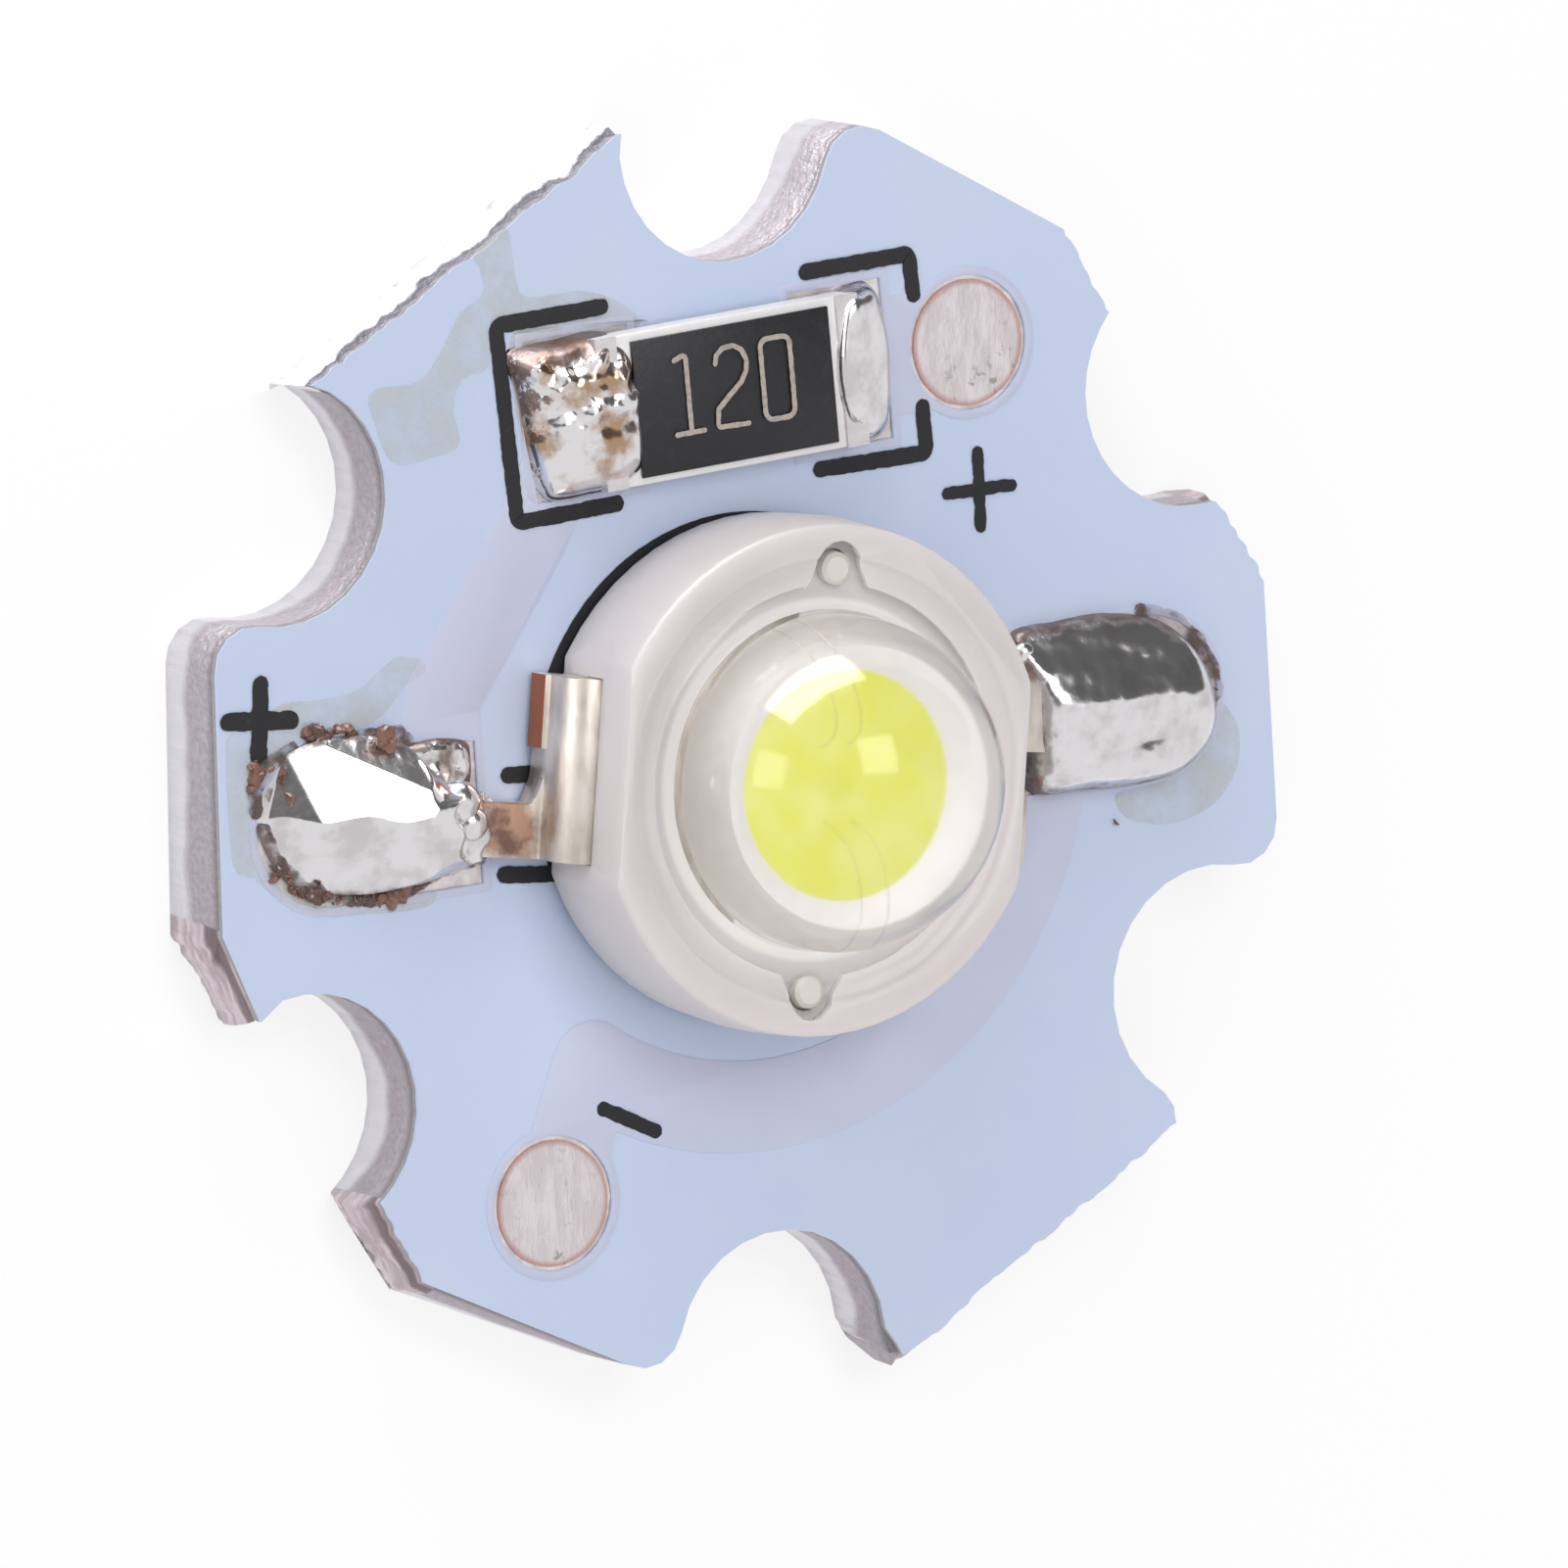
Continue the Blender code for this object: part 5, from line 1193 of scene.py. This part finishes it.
def crumb_shape(net, path, spacing, spread, size, seed):
    """Small lumps strewn along the paths, in heaps."""
    def scatter(low, high):
        return net.node("FunctionNodeRandomValue", {"data_type": "FLOAT_VECTOR"},
                        {0: low, 1: high, "Seed": seed})

    curve = net.node("GeometryNodeMeshToCurve", {}, {"Mesh": path})
    points = net.node("GeometryNodeCurveToPoints", {"mode": "LENGTH"},
                      {"Curve": curve, "Length": spacing})
    points = net.moved(points, net.scaled(scatter((-1.0, -1.0, -0.1), (1.0, 1.0, 0.3)), spread))
    lump = net.node("GeometryNodeMeshIcoSphere", {}, {"Radius": 1.0, "Subdivisions": 3})
    place = net.node("GeometryNodeInputPosition")
    heaping = net.noise(net.vectors("ADD", place, seed), 1.7, 1.0)
    growth = (heaping - 0.3).maths("MAXIMUM", 0.0) * 4.0
    sized = net.scaled(scatter((0.4, 0.4, 0.3), (1.3, 0.9, 0.7)), size * growth * growth)
    strewn = net.node("GeometryNodeInstanceOnPoints", {}, {
        "Points": points, "Selection": growth.maths("GREATER_THAN", 0.55), "Instance": lump,
        "Rotation": scatter((0.0, 0.0, 0.0), (0.6, 0.6, 6.28)), "Scale": sized})
    strewn = net.node("GeometryNodeRealizeInstances", {}, {"Geometry": strewn})
    rough = net.noise(place, 6.0, 3.0, output="Color")
    push = net.scaled(net.vectors("SUBTRACT", rough, (0.5, 0.5, 0.5)), size * 2.4)
    return net.moved(strewn, push)


strewn_crumbs = path_tree("strewn_crumbs", [("Spacing", "Float"), ("Spread", "Float"),
                                            ("Size", "Float"), ("Seed", "Int")], crumb_shape)


def crumbs(paths, level, spacing, spread, size, seed, finish):
    """Crumbs of burnt flux along paths of (x, y)."""
    return run_tree(path_lines(paths, level), strewn_crumbs,
                    {"Spacing": spacing, "Spread": spread, "Size": size, "Seed": seed,
                     "Material": finish.material})


burnt = Finish("burnt_flux", Coat_Weight=0.5, Coat_Roughness=0.15)
burnt.patches(3.0, (FLUX_BURNT, FLUX_TOASTED), 0.4, 0.2, 4.0, (0.4, 0.6))
add_piece("left_flux_crumbs",
          merged(crumbs(CRUMB_PATHS, FLUX_LEVEL, 0.06, 0.09, 0.1, 31, burnt),
                 crumbs(CRUSTED_PATHS, CRUST_LEVEL, 0.06, 0.12, 0.11, 32, burnt)),
          burnt)
add_piece("right_flux_crumbs", crumbs(RIGHT_CRUMBS, FLUX_LEVEL, 0.16, 0.06, 0.12, 33, burnt),
          burnt)

smear = Finish("flux_smear_finish", Coat_Weight=0.3)
smear_cloud = smear.patches(2.6, SMEAR_TONES, 0.4, 0.2, 4.0, (0.4, 0.62))
smear.set(Alpha=smear.ease(smear_cloud, 0.36, 0.56, 0.85, 0.12))
add_piece("flux_smears", strokes(SMEAR_PATHS, FLUX_LEVEL, 0.26, 0.03, smear, 41.0, rough=0.9),
          smear)

film = Finish("dried_flux_film", Roughness=0.18)
film_cloud = film.cloud(1.3, 4.0)
film.set(Base_Color=film.mix(film_cloud, FLUX_FILM_SHADE, FLUX_FILM),
         Alpha=film.ease(film_cloud, 0.25, 0.75, 0.06, 0.34))
film.bump(film_cloud, 0.02)
for name, outline in (("upper_flux_film", UPPER_FILM), ("left_flux_film", LEFT_FILM),
                      ("right_flux_film", RIGHT_FILM), ("inner_flux_film", INNER_FILM)):
    edge = [tuple(point) for point in smooth_outline(outline, 120)]
    if signed_area(edge) < 0:
        edge.reverse()
    sheet = prism(edge, BOARD_TOP + 0.002, BOARD_TOP + FILM_THICKNESS)
    round_edges(sheet, FILM_EDGE, 60.0)
    add_piece(name, sheet, film)

# Studio. A pale floor in an even pale surround. One soft lamp stands over the board's far side.
# Of the rest, some show only as glints on shiny surfaces, and the fills give light but no glint.
FLOOR_TINT = (250, 250, 251)
FLOOR_GLOW = 0.75
WORLD_LIGHT = 0.91
# Dim parts of the surround: direction, degrees to the edge's start and end, and how much dimmer.
DIM_PATCHES = [((0.64, 0.62, 0.42), 33, 41, 0.78), ((-0.51, 0.15, 0.85), 8, 15, 0.8)]
# Lamps: name, degrees from +X towards +Y, degrees of height, distance, width, height, radiance,
# and what doesn't show it. The strip stands close behind the board.
LAMPS = [("far_lamp", 87, 66, 0.3, 0.13, 0.13, 4.0, ()),
         ("left_lamp", 164, 12, 0.3, 0.12, 0.12, 3.0, ("diffuse", "camera")),
         ("far_strip", 105, 12, 0.026, 0.025, 0.012, 12.0, ("diffuse", "camera")),
         ("left_fill", 164, 12, 0.3, 0.12, 0.12, 0.6, ("glossy",)),
         ("far_fill", 108, 10, 0.4, 0.26, 0.26, 2.4, ("glossy",))]

floor_mesh = bpy.data.meshes.new("floor")
floor_mesh.from_pydata([(x, y, 0.0) for x, y in ((-3, -3), (3, -3), (3, 3), (-3, 3))], [],
                       [(0, 1, 2, 3)])
floor = bpy.data.objects.new("floor", floor_mesh)
bpy.context.scene.collection.objects.link(floor)
floor_finish = Finish("pale_floor", Roughness=0.9)
floor_finish.set(Base_Color=colour_of(FLOOR_TINT))
floor_finish.overlay(floor_finish.rays("Camera", "Glossy", "Transmission") * FLOOR_GLOW,
                     "ShaderNodeEmission")
floor_mesh.materials.append(floor_finish.material)

world = bpy.data.worlds.new("surround")
world.use_nodes = True
sky = Net(world.node_tree)
outward = sky.node("ShaderNodeTexCoord", output="Generated")
dimmed = 0.0
for direction, inner, outer, depth in DIM_PATCHES:
    towards = sky.vectors("DOT_PRODUCT", outward, Vector(direction).normalized(), "Value")
    dimmed = sky.ease(towards, math.cos(math.radians(outer)), math.cos(math.radians(inner)),
                      0.0, depth) + dimmed
background = world.node_tree.nodes["Background"]
background.inputs["Color"].default_value = (1.0, 1.0, 1.0, 1.0)
world.node_tree.links.new((WORLD_LIGHT - dimmed).socket, background.inputs["Strength"])
bpy.context.scene.world = world

for name, azimuth, elevation, distance, width, height, radiance, hidden_from in LAMPS:
    lamp = bpy.data.lights.new(name, "AREA")
    lamp.shape = "RECTANGLE"
    lamp.size = width
    lamp.size_y = height
    lamp.energy = radiance * math.pi * width * height
    tilt = math.radians(elevation)
    place = facing(azimuth) * math.cos(tilt) + Vector((0.0, 0.0, math.sin(tilt)))
    lit = bpy.data.objects.new(name, lamp)
    lit.location = place * distance
    lit.rotation_euler = place.to_track_quat("Z", "Y").to_euler()
    bpy.context.scene.collection.objects.link(lit)
    for kind in hidden_from:
        setattr(lit, "visible_" + kind, False)

bpy.context.scene.view_settings.view_transform = "Standard"
